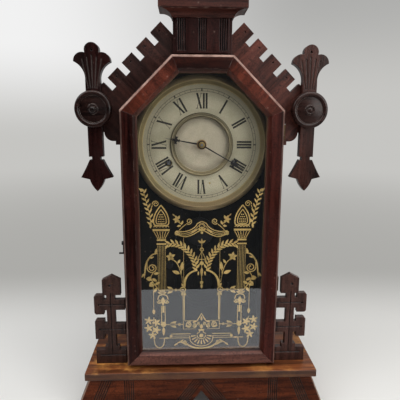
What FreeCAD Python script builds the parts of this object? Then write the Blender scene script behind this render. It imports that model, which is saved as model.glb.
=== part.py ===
"""Octagon-top walnut shelf clock: case, door, ornaments, dial, striking movement, pendulum and gong.

Millimetres. The origin is on the table under the middle of the clock. X runs to the right,
Y runs to the back, so the dial faces -Y, and Z runs up.
"""
import FreeCAD, Part
import math
import os

V = FreeCAD.Vector

# Base and shelf
base_height = 50.0
base_top_width = 279.0
base_bottom_width = 320.0
base_board = 12.0
base_setback = 8.0
base_arch_height = 28.5
base_arch_width = 42.0
base_upright_band = 91.5
base_slope_band = 22.5
base_arch_band = 11.5
shelf_width = 288.0
shelf_depth = 115.0
shelf_thickness = 10.0
shelf_edge_round = 2.0

# Door: a frame with two sloped upper corners
door_width = 185.0
door_height = 373.0
door_corner = 58.5
door_thickness = 19.0
door_lift = 3.5
door_frame = 18.5
door_face_flat = 14.5
door_outer_chamfer = 2.5
door_bevel_depth = 7.0
glass_thickness = 2.0
glass_rabbet = 5.0
glass_play = 0.4
bead_thickness = 4.0
shelf_reveal = 8.5
door_gap = 0.5

# Case behind the door
case_reveal = 3.0
case_wall = 9.0
back_board_thickness = 6.0

# Side wings with toothed upper edges
wing_thickness = 9.0
wing_setback = 4.5
wing_width = 33.0
wing_half_span = 127.5
wing_foot_height = 274.5
wing_round = 10.3
wing_round_offset = 8.1
wing_lap = 4.5
wing_step = 4.5
wing_post_height = 292.5
wing_inner_reach = 19.0
tooth_width = 16.3
slot_width = 7.0
slot_depth = 13.5
slot_count = 4
tooth_hole = 1.8
tooth_hole_sink = 2.0
tooth_hole_depth = 6.0

# Drop ornaments and rosettes on the wings
drop_offset = 122.8
drop_thickness = 9.0
drop_top = 387.0
drop_head_radius = 8.2
drop_shoulder_fall = 2.7
drop_shoulder = 7.8
drop_lobe = 20.4
drop_lobe_fall = 20.5
drop_neck = 8.2
drop_neck_fall = 41.0
drop_post_fall = 125.8
drop_notch = 4.7
drop_notch_height = 3.6
drop_arrow_top = 7.6
drop_arrow_width = 18.3
drop_arrow_fall = 149.9
drop_barb = 2.4
drop_barb_inner = 8.4
drop_tip_fall = 166.4
drop_hole = 2.4
neck_flute_count = 5
neck_flute_pitch = 2.4
neck_flute_spread = 5.4
neck_flute_height = 8.0
neck_flute_rise = 7.0
neck_flute_fall = 2.0
rosette_radius = 20.6
rosette_thickness = 8.0
rosette_fall = 72.0
rosette_rim = 5.6
rosette_dish = 2.6
rosette_face = 14.0
rosette_face_rise = 1.2
rosette_collar = 5.8
rosette_collar_rise = 1.2
rosette_button = 3.4
rosette_button_rise = 2.4

# Crown: neck, cove and cap
neck_width = 66.0
neck_depth = 18.0
neck_panel = 59.0
neck_panel_depth = 4.0
neck_overhang = 5.5
neck_height = 37.0
flute_width = 1.4
flute_depth = 1.5
flute_pitch = 2.4
flutes_per_band = 4
flute_band_offset = 23.2
flute_margin = 3.0
cove_height = 7.5
cove_flare = 13.0
cove_foot = 1.2
cove_steps = 8
cap_lip = 2.0
cap_height = 10.0
cap_hip = 14.0
cap_hip_height = 9.0

# Pierced brackets on the shelf
bracket_thickness = 7.0
bracket_setback = 14.0
bracket_span = 38.0
bracket_block = 19.0
bracket_block_line = 11.9
bracket_lower_arm = 34.2
bracket_slot_low = 60.3
bracket_slot_high = 67.8
bracket_arm_top = 93.3
bracket_shoulder = 113.3
bracket_apex = 119.3
bracket_inner_arm = 87.1
bracket_undercut = 6.3
bracket_gable_offset = 16.0
bracket_gable = 22.6
bracket_tee = 22.7
bracket_tee_width = 3.3
bracket_tee_height = 18.6
bracket_window_height = 19.2
bracket_stem_inner = 12.2
bracket_step = 3.8
bracket_step_rise = 5.0
bracket_notch_rise = 6.2
bracket_corner = 2.0
bracket_hole = 3.4
bracket_hole_drop = 13.6
bracket_hole_offset = 18.2
bracket_pit = 2.2
bracket_pit_depth = 2.0
bracket_line_margin = 5.2
bracket_line_rise = 9.0

# Incised lines
incision_width = 1.5
incision_depth = 1.0
band_pitch = 2.7
band_lines = 5

# Hinges and latch
hinge_barrel = 1.35
hinge_pin = 0.75
hinge_length = 18.0
hinge_knuckles = 3
hinge_knuckle_gap = 0.3
hinge_leaf = 0.8
hinge_leaf_depth = 14.0
hinge_setback = 10.0
hinge_low = 99.0
hinge_high = 284.0
hinge_pin_head = 0.9
latch_height = 158.0
latch_length = 13.0
latch_thickness = 1.2
latch_eye = 2.6
latch_width = 2.4
latch_lean = 6.0
latch_setback = 3.5
latch_screw_radius = 1.1
latch_head_radius = 2.4
latch_head_height = 1.2
latch_screw_length = 6.0
catch_pin_radius = 0.9
catch_pin_reach = 2.2
catch_pin_depth = 6.0
catch_pin_drop = 5.0

# Dial
dial_height = 278.0
dial_radius = 80.5
dial_setback = 9.5
dial_sheet = 0.8
paper_thickness = 0.25
dish_radius = 32.3
dish_depth = 3.0
dish_hole = 6.0
bezel_radius = 81.0
bezel_width = 11.2
bezel_height = 8.5
bezel_lip = 1.2
bezel_crest = 4.6
bezel_bow_out = 0.45
bezel_bow_down = 0.28
inner_ring_width = 5.2
inner_ring_valley = 0.9
inner_ring_rise = 2.2
winding_hole = 4.4
regulator_hole = 1.2
regulator_x = 10.2
regulator_drop = 46.5
dial_block_width = 24.0
dial_block_depth = 8.0
dial_block_grip = 5.5
block_slope_degrees = 45.0

# Hands and motion work
arbor_offset = 39.5
arbor_drop = 22.0
hand_thickness = 0.8
hand_spacing = 2.2
hand_clearance = 0.8
minute_hand_length = 63.0
minute_hand_width = 0.9
hand_taper = 0.5
cross_spread = 0.45
minute_cross_radius = 45.0
minute_cross = 4.4
hour_hand_length = 46.0
hour_hand_width = 1.1
hour_cross_radius = 31.0
hour_cross = 4.4
cross_heart = 0.55
hand_boss = 1.6
minutes_shown = 20.0
minutes_round = 60
hours_round = 12
half_turn_degrees = 180.0
hours_shown = 9.0
nut_radius = 3.6
nut_height = 1.8
nut_chamfer = 0.6
centre_arbor_radius = 1.6
cannon_radius = 3.0
hour_pipe_wall = 0.9
running_clearance = 0.05
motion_centres = 16.8
cannon_teeth = 12
minute_wheel_teeth = 36
minute_pinion_teeth = 10
hour_wheel_teeth = 40
motion_wheel = 1.5
motion_gap = 1.2
dish_gap = 2.0
wheel_gap = 0.6
stud_radius = 1.4
stud_cap_radius = 2.2
stud_cap_height = 0.8

# Movement
plate_thickness = 1.5
rear_room = 24.7
plate_half_width = 54.0
plate_top = 50.0
plate_bottom = 57.0
plate_offset = 10.8
plate_window_radius = 9.0
pillar_radius = 3.0
pillar_neck = 2.0
pillar_top_x = 47.0
pillar_top_z = 42.0
pillar_low_x = 24.0
pillar_low_z = 50.0
nut_flats = 3.4
nut_sides = 6
nut_thickness = 2.0
winding_arbor_radius = 2.6
winding_square = 3.6
winding_square_length = 11.0
winding_tip_gap = 1.0
winding_pivot = 1.5
great_wheel_radius = 28.0
great_wheel_teeth = 72
great_wheel_hub = 9.0
great_wheel_crossings = 5
great_wheel_thickness = 1.6
great_wheel_rim = 2.4
spring_inner = 5.0
spring_turns = 7
spring_pitch = 2.05
spring_strip = 0.6
spring_share = 0.56
train_wheel = 1.5
train_pivot = 1.4
centre_wheel_radius = 16.6
centre_wheel_teeth = 60
third_x = 14.0
third_z = 16.0
third_radius = 11.5
third_teeth = 48
third_pinion = 3.0
third_share = 0.34
escape_height = 26.0
escape_radius = 10.5
escape_teeth = 30
escape_share = 0.62
centre_share = 0.81

# Verge, crutch, pendulum, hammer and gong
verge_height = 42.0
verge_radius = 1.2
anchor_reach = 10.5
anchor_drop = 4.0
anchor_width = 1.8
crutch_offset = 3.2
crutch_length = 36.0
crutch_wire = 0.9
crutch_play = 0.4
pendulum_offset = 8.5
pendulum_length = 165.0
pendulum_rod = 0.9
suspension_length = 22.0
suspension_width = 4.0
suspension_strip = 0.4
suspension_rise = 6.5
cock_width = 9.0
cock_height = 8.0
cock_play = 0.7
bob_radius = 20.0
bob_thickness = 7.0
bob_rim = 1.5
bob_nut = 3.0
bob_nut_height = 3.0
hammer_x = 12.0
hammer_z = 40.0
hammer_arbor = 1.3
hammer_head_x = 42.0
hammer_head_z = 104.0
hammer_head_radius = 4.5
hammer_head_front = 2.0
hammer_head_back = 7.0
hammer_wire = 0.9
hammer_offset = 13.8
gong_height = 75.0
gong_wire = 1.3
gong_inner = 9.0
gong_pitch = 8.4
gong_turns = 4
gong_offset = 5.5
gong_block_width = 12.0
gong_block_height = 20.0
gong_block_depth = 9.0
gong_foot = 34.0
gong_foot_thickness = 4.0
gap_samples = 24

# Proportions of curves and teeth
lobe_crest_out = 0.62
lobe_crest_down = 0.08
lobe_bow_in = 0.34
lobe_bow_down = 0.30
arrow_bow_in = 0.47
arrow_bow_down = 0.5
tip_bow_in = 0.66
tip_bow_down = 0.5
tooth_addendum = 0.75
tooth_dedendum = 1.2
tooth_root_share = 0.27
tooth_tip_share = 0.09

# Shared levels
shelf_top = base_height + shelf_thickness
front_edge = -shelf_depth / 2
back_edge = shelf_depth / 2
base_front_y = front_edge + base_setback
door_front = front_edge + shelf_reveal
door_back = door_front + door_thickness
case_front = door_back + door_gap
board_front = back_edge - back_board_thickness
door_bottom = shelf_top + door_lift
glass_front = door_front + door_bevel_depth
dial_z = shelf_top + dial_height
pan_front = case_front + dial_setback
pan_back = pan_front + dial_sheet
dish_back = pan_back + dish_depth
ring_front = pan_front - inner_ring_rise
hour_hand_back = ring_front - hand_clearance
hour_hand_front = hour_hand_back - hand_thickness
minute_hand_back = hour_hand_front - hand_spacing + hand_thickness
minute_hand_front = minute_hand_back - hand_thickness
hour_wheel_front = dish_back + dish_gap
minute_wheel_front = hour_wheel_front + motion_wheel + motion_gap + wheel_gap
plate_front = minute_wheel_front + motion_wheel + motion_gap
plate_inner = plate_front + plate_thickness
plate_back = board_front - rear_room
plate_far = plate_back - plate_thickness
spring_width = (plate_far - plate_inner) * spring_share
third_level = (plate_far - plate_inner) * third_share
escape_level = (plate_far - plate_inner) * escape_share
centre_wheel_level = (plate_far - plate_inner) * centre_share
pendulum_y = plate_back + pendulum_offset
verge_z = dial_z + verge_height
wing_front = case_front + wing_setback
wing_back = wing_front + wing_thickness
drop_front = wing_front - drop_thickness
bracket_front = door_front + bracket_setback
bracket_back = bracket_front + bracket_thickness
hinge_y = door_front + hinge_setback
SAFE = 1.0


def box(x0, x1, y0, y1, z0, z1):
    """A block between two corners."""
    corner = V(min(x0, x1), min(y0, y1), min(z0, z1))
    return Part.makeBox(abs(x1 - x0), abs(y1 - y0), abs(z1 - z0), corner)


def rod(x, z, radius, y0, y1):
    """A round bar along Y."""
    return Part.makeCylinder(radius, y1 - y0, V(x, y0, z), V(0, 1, 0))


def ring(x, z, outer, inner, y0, y1):
    """A round tube along Y."""
    return rod(x, z, outer, y0, y1).cut(rod(x, z, inner, y0 - SAFE, y1 + SAFE))


def wire_xz(points, y):
    """A closed wire of straight edges in a plane that faces the front."""
    corners = [V(x, y, z) for x, z in points]
    return Part.makePolygon(corners + corners[:1])


def prism(points, y0, y1):
    """A flat outline pulled from y0 to y1."""
    return Part.Face(wire_xz(points, y0)).extrude(V(0, y1 - y0, 0))


def mixed_prism(edges, y0, y1):
    """A flat outline of lines (two points) and arcs (three points), pulled from y0 to y1."""
    made = []
    for edge in edges:
        spots = [V(x, y0, z) for x, z in edge]
        made.append(Part.Arc(*spots).toShape() if len(spots) == 3 else Part.makeLine(*spots))
    return Part.Face(Part.Wire(made)).extrude(V(0, y1 - y0, 0))


def turned(profile, x, z):
    """A solid turned about an axis along Y. The profile holds lines and arcs of (radius, y)."""
    made = []
    for edge in profile:
        spots = [V(x + r, y, z) for r, y in edge]
        made.append(Part.Arc(*spots).toShape() if len(spots) == 3 else Part.makeLine(*spots))
    face = Part.Face(Part.Wire(made))
    return face.revolve(V(x, 0, z), V(0, 1, 0), 360)


def loop_of(points):
    """Straight edges that join the points in turn and close."""
    return [(a, b) for a, b in zip(points, points[1:] + points[:1])]


def inset(points, distance):
    """A convex outline, listed anticlockwise, moved inwards by a distance."""
    count = len(points)
    moved = []
    for i in range(count):
        a, b, c = points[i - 1], points[i], points[(i + 1) % count]
        moved.append(meet(shifted(a, b, distance), shifted(b, c, distance)))
    return moved


def shifted(a, b, distance):
    """The line from a to b, moved to its left."""
    length = math.hypot(b[0] - a[0], b[1] - a[1])
    nx, nz = (a[1] - b[1]) / length * distance, (b[0] - a[0]) / length * distance
    return (a[0] + nx, a[1] + nz), (b[0] + nx, b[1] + nz)


def meet(first, second):
    """The point where two lines cross."""
    (ax, az), (bx, bz) = first
    (cx, cz), (dx, dz) = second
    ux, uz, wx, wz = bx - ax, bz - az, dx - cx, dz - cz
    share = ((cx - ax) * wz - (cz - az) * wx) / (ux * wz - uz * wx)
    return ax + share * ux, az + share * uz


def mirrored(shape):
    """The same piece on the other side of the clock."""
    return shape.mirror(V(0, 0, 0), V(1, 0, 0))


def group(shapes):
    """Several separate solids in one node."""
    return Part.makeCompound(shapes)


def octagon(width, bottom, height, corner):
    """A tall outline with sloped upper corners, anticlockwise from the lower left."""
    half, top = width / 2, bottom + height
    return [(-half, bottom), (half, bottom), (half, top - corner),
            (half - corner, top), (corner - half, top), (-half, top - corner)]


DOOR = octagon(door_width, door_bottom, door_height, door_corner)
CASE = inset(DOOR, -case_reveal)


def sector(outline, index, width, y0, y1):
    """The space of one mitred member of a frame that follows an outline."""
    outer, inner = inset(outline, -SAFE), inset(outline, width + SAFE)
    after = (index + 1) % len(outline)
    return prism([outer[index], outer[after], inner[after], inner[index]], y0 - SAFE, y1 + SAFE)


def frustum(first, y0, second, y1):
    """A straight-sided solid between two like outlines."""
    return Part.makeLoft([wire_xz(first, y0), wire_xz(second, y1)], True, True)


# Base and shelf


def base_outline():
    """The splayed front of the base."""
    top, bottom = base_top_width / 2, base_bottom_width / 2
    return [(-bottom, 0), (bottom, 0), (top, base_height), (-top, base_height)]


def groove(start, end, y_face):
    """A straight V-groove between two points of a front face."""
    (ax, az), (bx, bz) = start, end
    length = math.hypot(bx - ax, bz - az)
    nx, nz = (az - bz) / length * incision_width / 2, (bx - ax) / length * incision_width / 2
    corners = [V(ax + nx, y_face, az + nz), V(ax - nx, y_face, az - nz), V(ax, y_face + incision_depth, az)]
    return Part.Face(Part.makePolygon(corners + corners[:1])).extrude(V(bx - ax, 0, bz - az))


def groove_band(start, end, y_face):
    """Several equal grooves side by side, centred on the line between two points."""
    made = []
    for i in range(band_lines):
        away = (i - (band_lines - 1) / 2) * band_pitch
        a, b = shifted(start, end, away)
        made.append(groove(a, b, y_face))
    return made


def base_front():
    """The front board, with a pointed arch and incised bands."""
    y0 = base_front_y
    board = prism(base_outline(), y0, y0 + base_board)
    arch = [(-base_arch_width / 2, 0), (base_arch_width / 2, 0), (0, base_arch_height)]
    board = board.cut(prism(arch, y0 - SAFE, y0 + base_board + SAFE))
    left_foot, right_foot, peak = inset(arch, -base_arch_band)
    cuts = groove_band(left_foot, peak, y0) + groove_band(right_foot, peak, y0)
    for side in (-1, 1):
        upright = side * base_upright_band
        cuts += groove_band((upright, 0), (upright, base_height), y0)
        foot = side * (base_bottom_width / 2 - base_slope_band)
        top = side * (base_top_width / 2 - base_slope_band)
        cuts += groove_band((foot, 0), (top, base_height), y0)
    for cut in cuts:
        board = board.cut(cut)
    return board


def base_side():
    """The right sloped end of the base, behind the front board."""
    bottom, top = base_bottom_width / 2, base_top_width / 2
    outline = [(bottom - base_board, 0), (bottom, 0), (top, base_height), (top - base_board, base_height)]
    return prism(outline, base_front_y + base_board, back_edge)


def shelf_board():
    """The shelf that carries the case and the brackets."""
    half = shelf_width / 2
    board = box(-half, half, front_edge, back_edge, base_height, shelf_top)
    front = [e for e in board.Edges if on_front_edge(e)]
    return board.makeFillet(shelf_edge_round, front)


def on_front_edge(edge):
    """True for the long upper and lower edges of the shelf's front face."""
    spots = [v.Point for v in edge.Vertexes]
    level = abs(spots[0].z - spots[-1].z) < SAFE
    return level and all(abs(p.y - front_edge) < SAFE for p in spots)


# Case


def case_walls():
    """Sides, slopes and top of the case, in the outline's order."""
    outline = [(x, z - case_wall - door_lift if i < 2 else z) for i, (x, z) in enumerate(CASE)]
    shell = prism(outline, case_front, back_edge)
    shell = shell.cut(prism(inset(outline, case_wall), case_front - SAFE, back_edge + SAFE))
    shell = shell.cut(box(-door_width, door_width, front_edge, back_edge + SAFE, 0, shelf_top))
    sides = range(1, len(outline))
    walls = [shell.common(sector(outline, i, case_wall, case_front, back_edge)) for i in sides]
    right = walls[0]
    for z in (shelf_top + hinge_low, shelf_top + hinge_high):
        right = right.cut(case_leaf_plate(z, door_gap))
    walls[0] = right
    walls[-1] = walls[-1].cut(latch_screw())
    return walls


def back_board():
    """The board that closes the back, let in between the walls."""
    outline = inset(CASE, case_wall)
    outline = [(x, shelf_top if i < 2 else z) for i, (x, z) in enumerate(outline)]
    return prism(outline, board_front, back_edge)


# Door


def door_solid():
    """The whole door frame, before it is parted at the mitres."""
    back = door_front + door_outer_chamfer
    frame = frustum(inset(DOOR, door_outer_chamfer), door_front, DOOR, back)
    frame = frame.fuse(prism(DOOR, back, door_back)).removeSplitter()
    sight, face = inset(DOOR, door_frame), inset(DOOR, door_face_flat)
    frame = frame.cut(frustum(face, door_front, sight, glass_front))
    frame = frame.cut(prism(sight, door_front - SAFE, door_back + SAFE))
    return frame.cut(prism(inset(DOOR, door_frame - glass_rabbet), glass_front, door_back + SAFE))


def door_members():
    """Bottom rail, right stile, right diagonal, top rail, left diagonal and left stile."""
    frame = door_solid()
    members = [frame.common(sector(DOOR, i, door_frame, door_front, door_back)) for i in range(len(DOOR))]
    for z in (shelf_top + hinge_low, shelf_top + hinge_high):
        members[1] = members[1].cut(door_leaf_plate(z))
    members[5] = members[5].cut(catch_pin())
    return members


def door_glass():
    """The pane, with play in its rabbet."""
    outline = inset(DOOR, door_frame - glass_rabbet + glass_play)
    return prism(outline, glass_front, glass_front + glass_thickness)


def glass_beads():
    """Six mitred strips that hold the pane."""
    y0 = glass_front + glass_thickness
    outer, inner = inset(DOOR, door_frame - glass_rabbet), inset(DOOR, door_frame)
    strip = prism(outer, y0, y0 + bead_thickness)
    strip = strip.cut(prism(inner, y0 - SAFE, y0 + bead_thickness + SAFE))
    y1 = y0 + bead_thickness
    return group([strip.common(sector(DOOR, i, door_frame, y0, y1)) for i in range(len(DOOR))])


# Hinges and latch


def hinge_axis_x():
    """The hinge line, outside the door's right edge and flush with the case."""
    return CASE[1][0] - hinge_barrel


def knuckle_bounds(z, index):
    """Lower and upper end of one knuckle."""
    step = hinge_length / hinge_knuckles
    low = z + index * step + hinge_knuckle_gap / 2
    return low, low + step - hinge_knuckle_gap


def knuckle(z, index):
    """One knuckle of the hinge barrel, without its bore."""
    low, high = knuckle_bounds(z, index)
    return Part.makeCylinder(hinge_barrel, high - low, V(hinge_axis_x(), hinge_y, low))


def case_leaf_plate(z, extra=0.0):
    """The plate of a leaf that is let into the case."""
    right = CASE[1][0]
    return box(right - hinge_leaf, right + extra, hinge_y, hinge_y + hinge_leaf_depth + door_thickness / 2,
               z, z + hinge_length)


def door_leaf_plate(z):
    """The plate of a leaf that is let into the door's edge."""
    edge = door_width / 2
    half = (door_thickness - door_outer_chamfer) / 2 - hinge_pin
    return box(edge - hinge_leaf, edge, hinge_y - half, hinge_y + half, z, z + hinge_length)


def hinge_bore(z, radius):
    """The line of the hinge pin."""
    return Part.makeCylinder(radius, hinge_length + 2 * SAFE, V(hinge_axis_x(), hinge_y, z - SAFE))


def case_leaf(z):
    """The case half of a hinge: a plate with the outer knuckles."""
    right, axis = CASE[1][0], hinge_axis_x()
    plate = case_leaf_plate(z)
    for i in range(1, hinge_knuckles, 2):
        low, high = knuckle_bounds(z, i)
        free = hinge_knuckle_gap
        plate = plate.cut(box(axis, right + SAFE, hinge_y - SAFE, hinge_y + hinge_barrel + free,
                              low - free, high + free))
    for i in range(0, hinge_knuckles, 2):
        plate = plate.fuse(knuckle(z, i))
    return plate.cut(hinge_bore(z, hinge_pin)).removeSplitter()


def door_leaf(z):
    """The door half of a hinge: a plate with the middle knuckle on a web."""
    axis, edge = hinge_axis_x(), door_width / 2
    leaf = door_leaf_plate(z)
    for i in range(1, hinge_knuckles, 2):
        low, high = knuckle_bounds(z, i)
        web = box(edge - hinge_leaf, axis, hinge_y - hinge_barrel, hinge_y + hinge_pin, low, high)
        leaf = leaf.fuse(web).fuse(knuckle(z, i))
    return leaf.cut(hinge_bore(z, hinge_pin + running_clearance)).removeSplitter()


def hinge_pin_solid(z):
    """A hinge pin with a small head on top."""
    axis = hinge_axis_x()
    pin = Part.makeCylinder(hinge_pin, hinge_length, V(axis, hinge_y, z))
    head = Part.makeCylinder(hinge_barrel, hinge_pin_head, V(axis, hinge_y, z + hinge_length))
    return pin.fuse(head).removeSplitter()


def latch_point():
    """Where the latch turns on the case's left side."""
    return V(CASE[0][0], case_front + latch_setback, shelf_top + latch_height)


def latch_hook():
    """A small hook that hangs on a screw beside the door."""
    p = latch_point()
    out = V(-1, 0, 0)
    start = p + out * running_clearance
    eye = Part.makeCylinder(latch_eye, latch_thickness, start, out)
    arm = box(start.x, start.x - latch_thickness, p.y - latch_width / 2, p.y + latch_width / 2,
              p.z - latch_length, p.z)
    toe = Part.makeCylinder(latch_width / 2, latch_lean, V(start.x, p.y, p.z - latch_length), out)
    bore = Part.makeCylinder(latch_screw_radius + running_clearance, 4 * latch_thickness, p - out * SAFE, out)
    return eye.fuse([arm, toe]).cut(bore).removeSplitter()


def latch_screw():
    """The round-headed screw on which the latch turns."""
    p = latch_point()
    head_at = latch_thickness + 2 * running_clearance
    shank = Part.makeCylinder(latch_screw_radius, latch_screw_length + head_at,
                              p + V(latch_screw_length, 0, 0), V(-1, 0, 0))
    head = Part.makeCylinder(latch_head_radius, latch_head_height, p - V(head_at, 0, 0), V(-1, 0, 0))
    return shank.fuse(head).removeSplitter()


def catch_pin():
    """The pin in the door's left edge."""
    z = shelf_top + latch_height - catch_pin_drop
    start = V(-door_width / 2 + catch_pin_depth, door_front + door_thickness / 2, z)
    return Part.makeCylinder(catch_pin_radius, catch_pin_depth + catch_pin_reach, start, V(-1, 0, 0))


# Wings, drops and rosettes


def right_wing():
    """A board beside the case slope, with a toothed edge and a rounded foot."""
    half = CASE[1][0]
    corner_x, corner_z = CASE[3]
    neck = neck_width / 2
    diagonal = wing_width * math.sqrt(2)
    sum_outer = CASE[2][0] + CASE[2][1] + diagonal
    top_x = neck + (sum_outer - corner_x - corner_z) / 2 - wing_inner_reach / 2
    top = (top_x, sum_outer - top_x)
    inner = (neck, top[1] - (top_x - neck))
    outer_z = sum_outer - wing_half_span
    post = shelf_top + wing_post_height
    foot = shelf_top + wing_foot_height + door_lift
    round_x = half + wing_round_offset
    bend = wing_round * math.sqrt(0.5)
    edges = [((neck, corner_z - wing_round), inner), (inner, top), (top, (wing_half_span, outer_z)),
             ((wing_half_span, outer_z), (wing_half_span, post)),
             ((wing_half_span, post), (round_x + wing_round, post)),
             ((round_x + wing_round, post), (round_x + bend, post - bend), (round_x, post - wing_round)),
             ((round_x, post - wing_round), (half + wing_step + SAFE, post - wing_round)),
             ((half + wing_step + SAFE, post - wing_round), (half + wing_step + SAFE, foot)),
             ((half + wing_step + SAFE, foot), (half - wing_lap, foot)),
             ((half - wing_lap, foot), (half - wing_lap, CASE[2][1] - wing_round)),
             ((half - wing_lap, CASE[2][1] - wing_round), (neck, corner_z - wing_round))]
    wing = mixed_prism(edges, wing_front, wing_back)
    wing = wing.cut(prism(CASE, wing_front - SAFE, wing_back + SAFE))
    for cut in wing_cuts(top):
        wing = wing.cut(cut)
    return wing


def wing_cuts(top):
    """The slots between the teeth and the hole in each tooth."""
    along = (math.sqrt(0.5), -math.sqrt(0.5))
    inward = (-math.sqrt(0.5), -math.sqrt(0.5))
    pitch = tooth_width + slot_width
    cuts = []
    for i in range(slot_count):
        near = step_from(top, along, i * pitch + tooth_width)
        far = step_from(top, along, (i + 1) * pitch)
        mouth = [step_from(near, inward, -SAFE), step_from(far, inward, -SAFE)]
        end = [step_from(far, inward, slot_depth), step_from(near, inward, slot_depth)]
        cuts.append(prism(mouth + end, wing_front - SAFE, wing_back + SAFE))
        hole = step_from(step_from(top, along, i * pitch + tooth_width / 2), inward, tooth_hole_depth)
        cuts.append(rod(hole[0], hole[1], tooth_hole / 2, wing_front - SAFE, wing_front + tooth_hole_sink))
    return cuts


def step_from(point, direction, distance):
    """A point moved along a direction."""
    return point[0] + direction[0] * distance, point[1] + direction[1] * distance


def between(start, end, share):
    """A value part of the way from start to end."""
    return start + (end - start) * share


def right_drop():
    """A hanging ornament: round head, two lobes, post and arrow."""
    top = shelf_top + drop_top + door_lift
    head = top - drop_head_radius
    lobe, neck = top - drop_lobe_fall, top - drop_neck_fall
    post, arrow, tip = top - drop_post_fall, top - drop_arrow_fall, top - drop_tip_fall
    waist = post - drop_notch_height
    shoulder = head - drop_shoulder_fall
    bow = (between(drop_neck, drop_lobe, lobe_bow_in), between(lobe, neck, lobe_bow_down))
    crest = (between(drop_shoulder, drop_lobe, lobe_crest_out), between(shoulder, lobe, lobe_crest_down))
    flare = (between(drop_arrow_top, drop_arrow_width, arrow_bow_in), between(waist, arrow, arrow_bow_down))
    barb = arrow - drop_barb
    point = (drop_barb_inner * tip_bow_in, between(barb, tip, tip_bow_down))
    half = [((0, top), (drop_head_radius * math.sqrt(0.5), head + drop_head_radius * math.sqrt(0.5)),
             (drop_head_radius, head)),
            ((drop_head_radius, head), (drop_shoulder, shoulder)),
            ((drop_shoulder, shoulder), crest, (drop_lobe, lobe)),
            ((drop_lobe, lobe), bow, (drop_neck, neck)),
            ((drop_neck, neck), (drop_neck, post)),
            ((drop_neck, post), (drop_notch, post)),
            ((drop_notch, post), (drop_notch, waist)),
            ((drop_notch, waist), (drop_arrow_top, waist)),
            ((drop_arrow_top, waist), flare, (drop_arrow_width, arrow)),
            ((drop_arrow_width, arrow), (drop_barb_inner, barb)),
            ((drop_barb_inner, barb), point, (0, tip)),
            ((0, tip), (0, top))]
    side = mixed_prism(half, drop_front, wing_front)
    piece = side.fuse(mirrored(side)).removeSplitter()
    piece = piece.cut(rod(0, head, drop_hole / 2, drop_front - SAFE, drop_front + tooth_hole_sink))
    for i in range(neck_flute_count):
        place = i - (neck_flute_count - 1) / 2
        foot = (place * neck_flute_pitch, neck - neck_flute_height)
        end = (place * neck_flute_spread, lobe + neck_flute_rise - abs(place) * neck_flute_fall)
        piece = piece.cut(groove(foot, end, drop_front))
    piece.translate(V(drop_offset, 0, 0))
    return piece


def dome_middle(radius, rise, level, way):
    """The point half way up a round dome that rises from a level along Y."""
    ball = (radius ** 2 + rise ** 2) / (2 * rise)
    half = math.asin(radius / ball) / 2
    return ball * math.sin(half), level + way * (rise - ball * (1 - math.cos(half)))


def rosette(side):
    """A turned disc with a rounded rim, a dished face and a domed button."""
    z = shelf_top + drop_top + door_lift - rosette_fall
    back, front = drop_front, drop_front - rosette_thickness
    dish = front + rosette_dish
    rim_in = rosette_radius - rosette_rim
    rim_top = rosette_radius - rosette_rim / 2
    shoulder = front + rosette_rim / 2
    face = dish - rosette_face_rise
    collar_mid = (rosette_collar + rosette_button) / 2
    profile = [((0, back), (rosette_radius, back)),
               ((rosette_radius, back), (rosette_radius, shoulder)),
               ((rosette_radius, shoulder), (rim_top, front), (rim_in, shoulder)),
               ((rim_in, shoulder), (rosette_face, dish)),
               ((rosette_face, dish), (rosette_collar, face)),
               ((rosette_collar, face), (collar_mid, face - rosette_collar_rise), (rosette_button, face)),
               ((rosette_button, face), dome_middle(rosette_button, rosette_button_rise, face, -1),
                (0, face - rosette_button_rise)),
               ((0, face - rosette_button_rise), (0, back))]
    return turned(profile, side * drop_offset, z)


# Crown


def neck_block():
    """The fluted block on the case top."""
    half = neck_width / 2
    y0 = case_front - neck_overhang
    low = CASE[3][1]
    high = low + neck_height
    block = box(-half, half, y0 + neck_panel_depth, y0 + neck_depth, low, high)
    panel = box(-neck_panel / 2, neck_panel / 2, y0, y0 + neck_depth, low, high)
    block = block.fuse(panel).removeSplitter()
    for band in (-1, 0, 1):
        for i in range(flutes_per_band):
            x = band * flute_band_offset + (i - (flutes_per_band - 1) / 2) * flute_pitch
            block = block.cut(box(x - flute_width / 2, x + flute_width / 2, y0 - SAFE, y0 + flute_depth,
                                  low + flute_margin, high + SAFE))
    return block


def crown_section(flare, z):
    """A level outline round the neck, wider by a flare at the front and sides."""
    half = neck_width / 2 + flare
    y0 = case_front - neck_overhang
    corners = [V(-half, y0 - flare, z), V(half, y0 - flare, z),
               V(half, y0 + neck_depth, z), V(-half, y0 + neck_depth, z)]
    return Part.makePolygon(corners + corners[:1])


def cove_moulding():
    """A hollow moulding that spreads from the neck to the cap."""
    low = CASE[3][1] + neck_height
    sections = []
    for i in range(cove_steps + 1):
        turn = math.pi / 2 * i / cove_steps
        flare = cove_foot + (cove_flare - cove_foot) * (1 - math.cos(turn))
        sections.append(crown_section(flare, low + cove_height * math.sin(turn)))
    return Part.makeLoft(sections, True, True)


def crown_cap():
    """The slab over the cove, with a low hipped top."""
    low = CASE[3][1] + neck_height + cove_height
    wide = cove_flare + cap_lip
    slab = Part.makeLoft([crown_section(wide, low), crown_section(wide, low + cap_height)], True, True)
    hip = Part.makeLoft([crown_section(wide, low + cap_height),
                         crown_section(wide - cap_hip, low + cap_height + cap_hip_height)], True, True)
    return slab.fuse(hip).removeSplitter()


# Brackets


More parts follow.
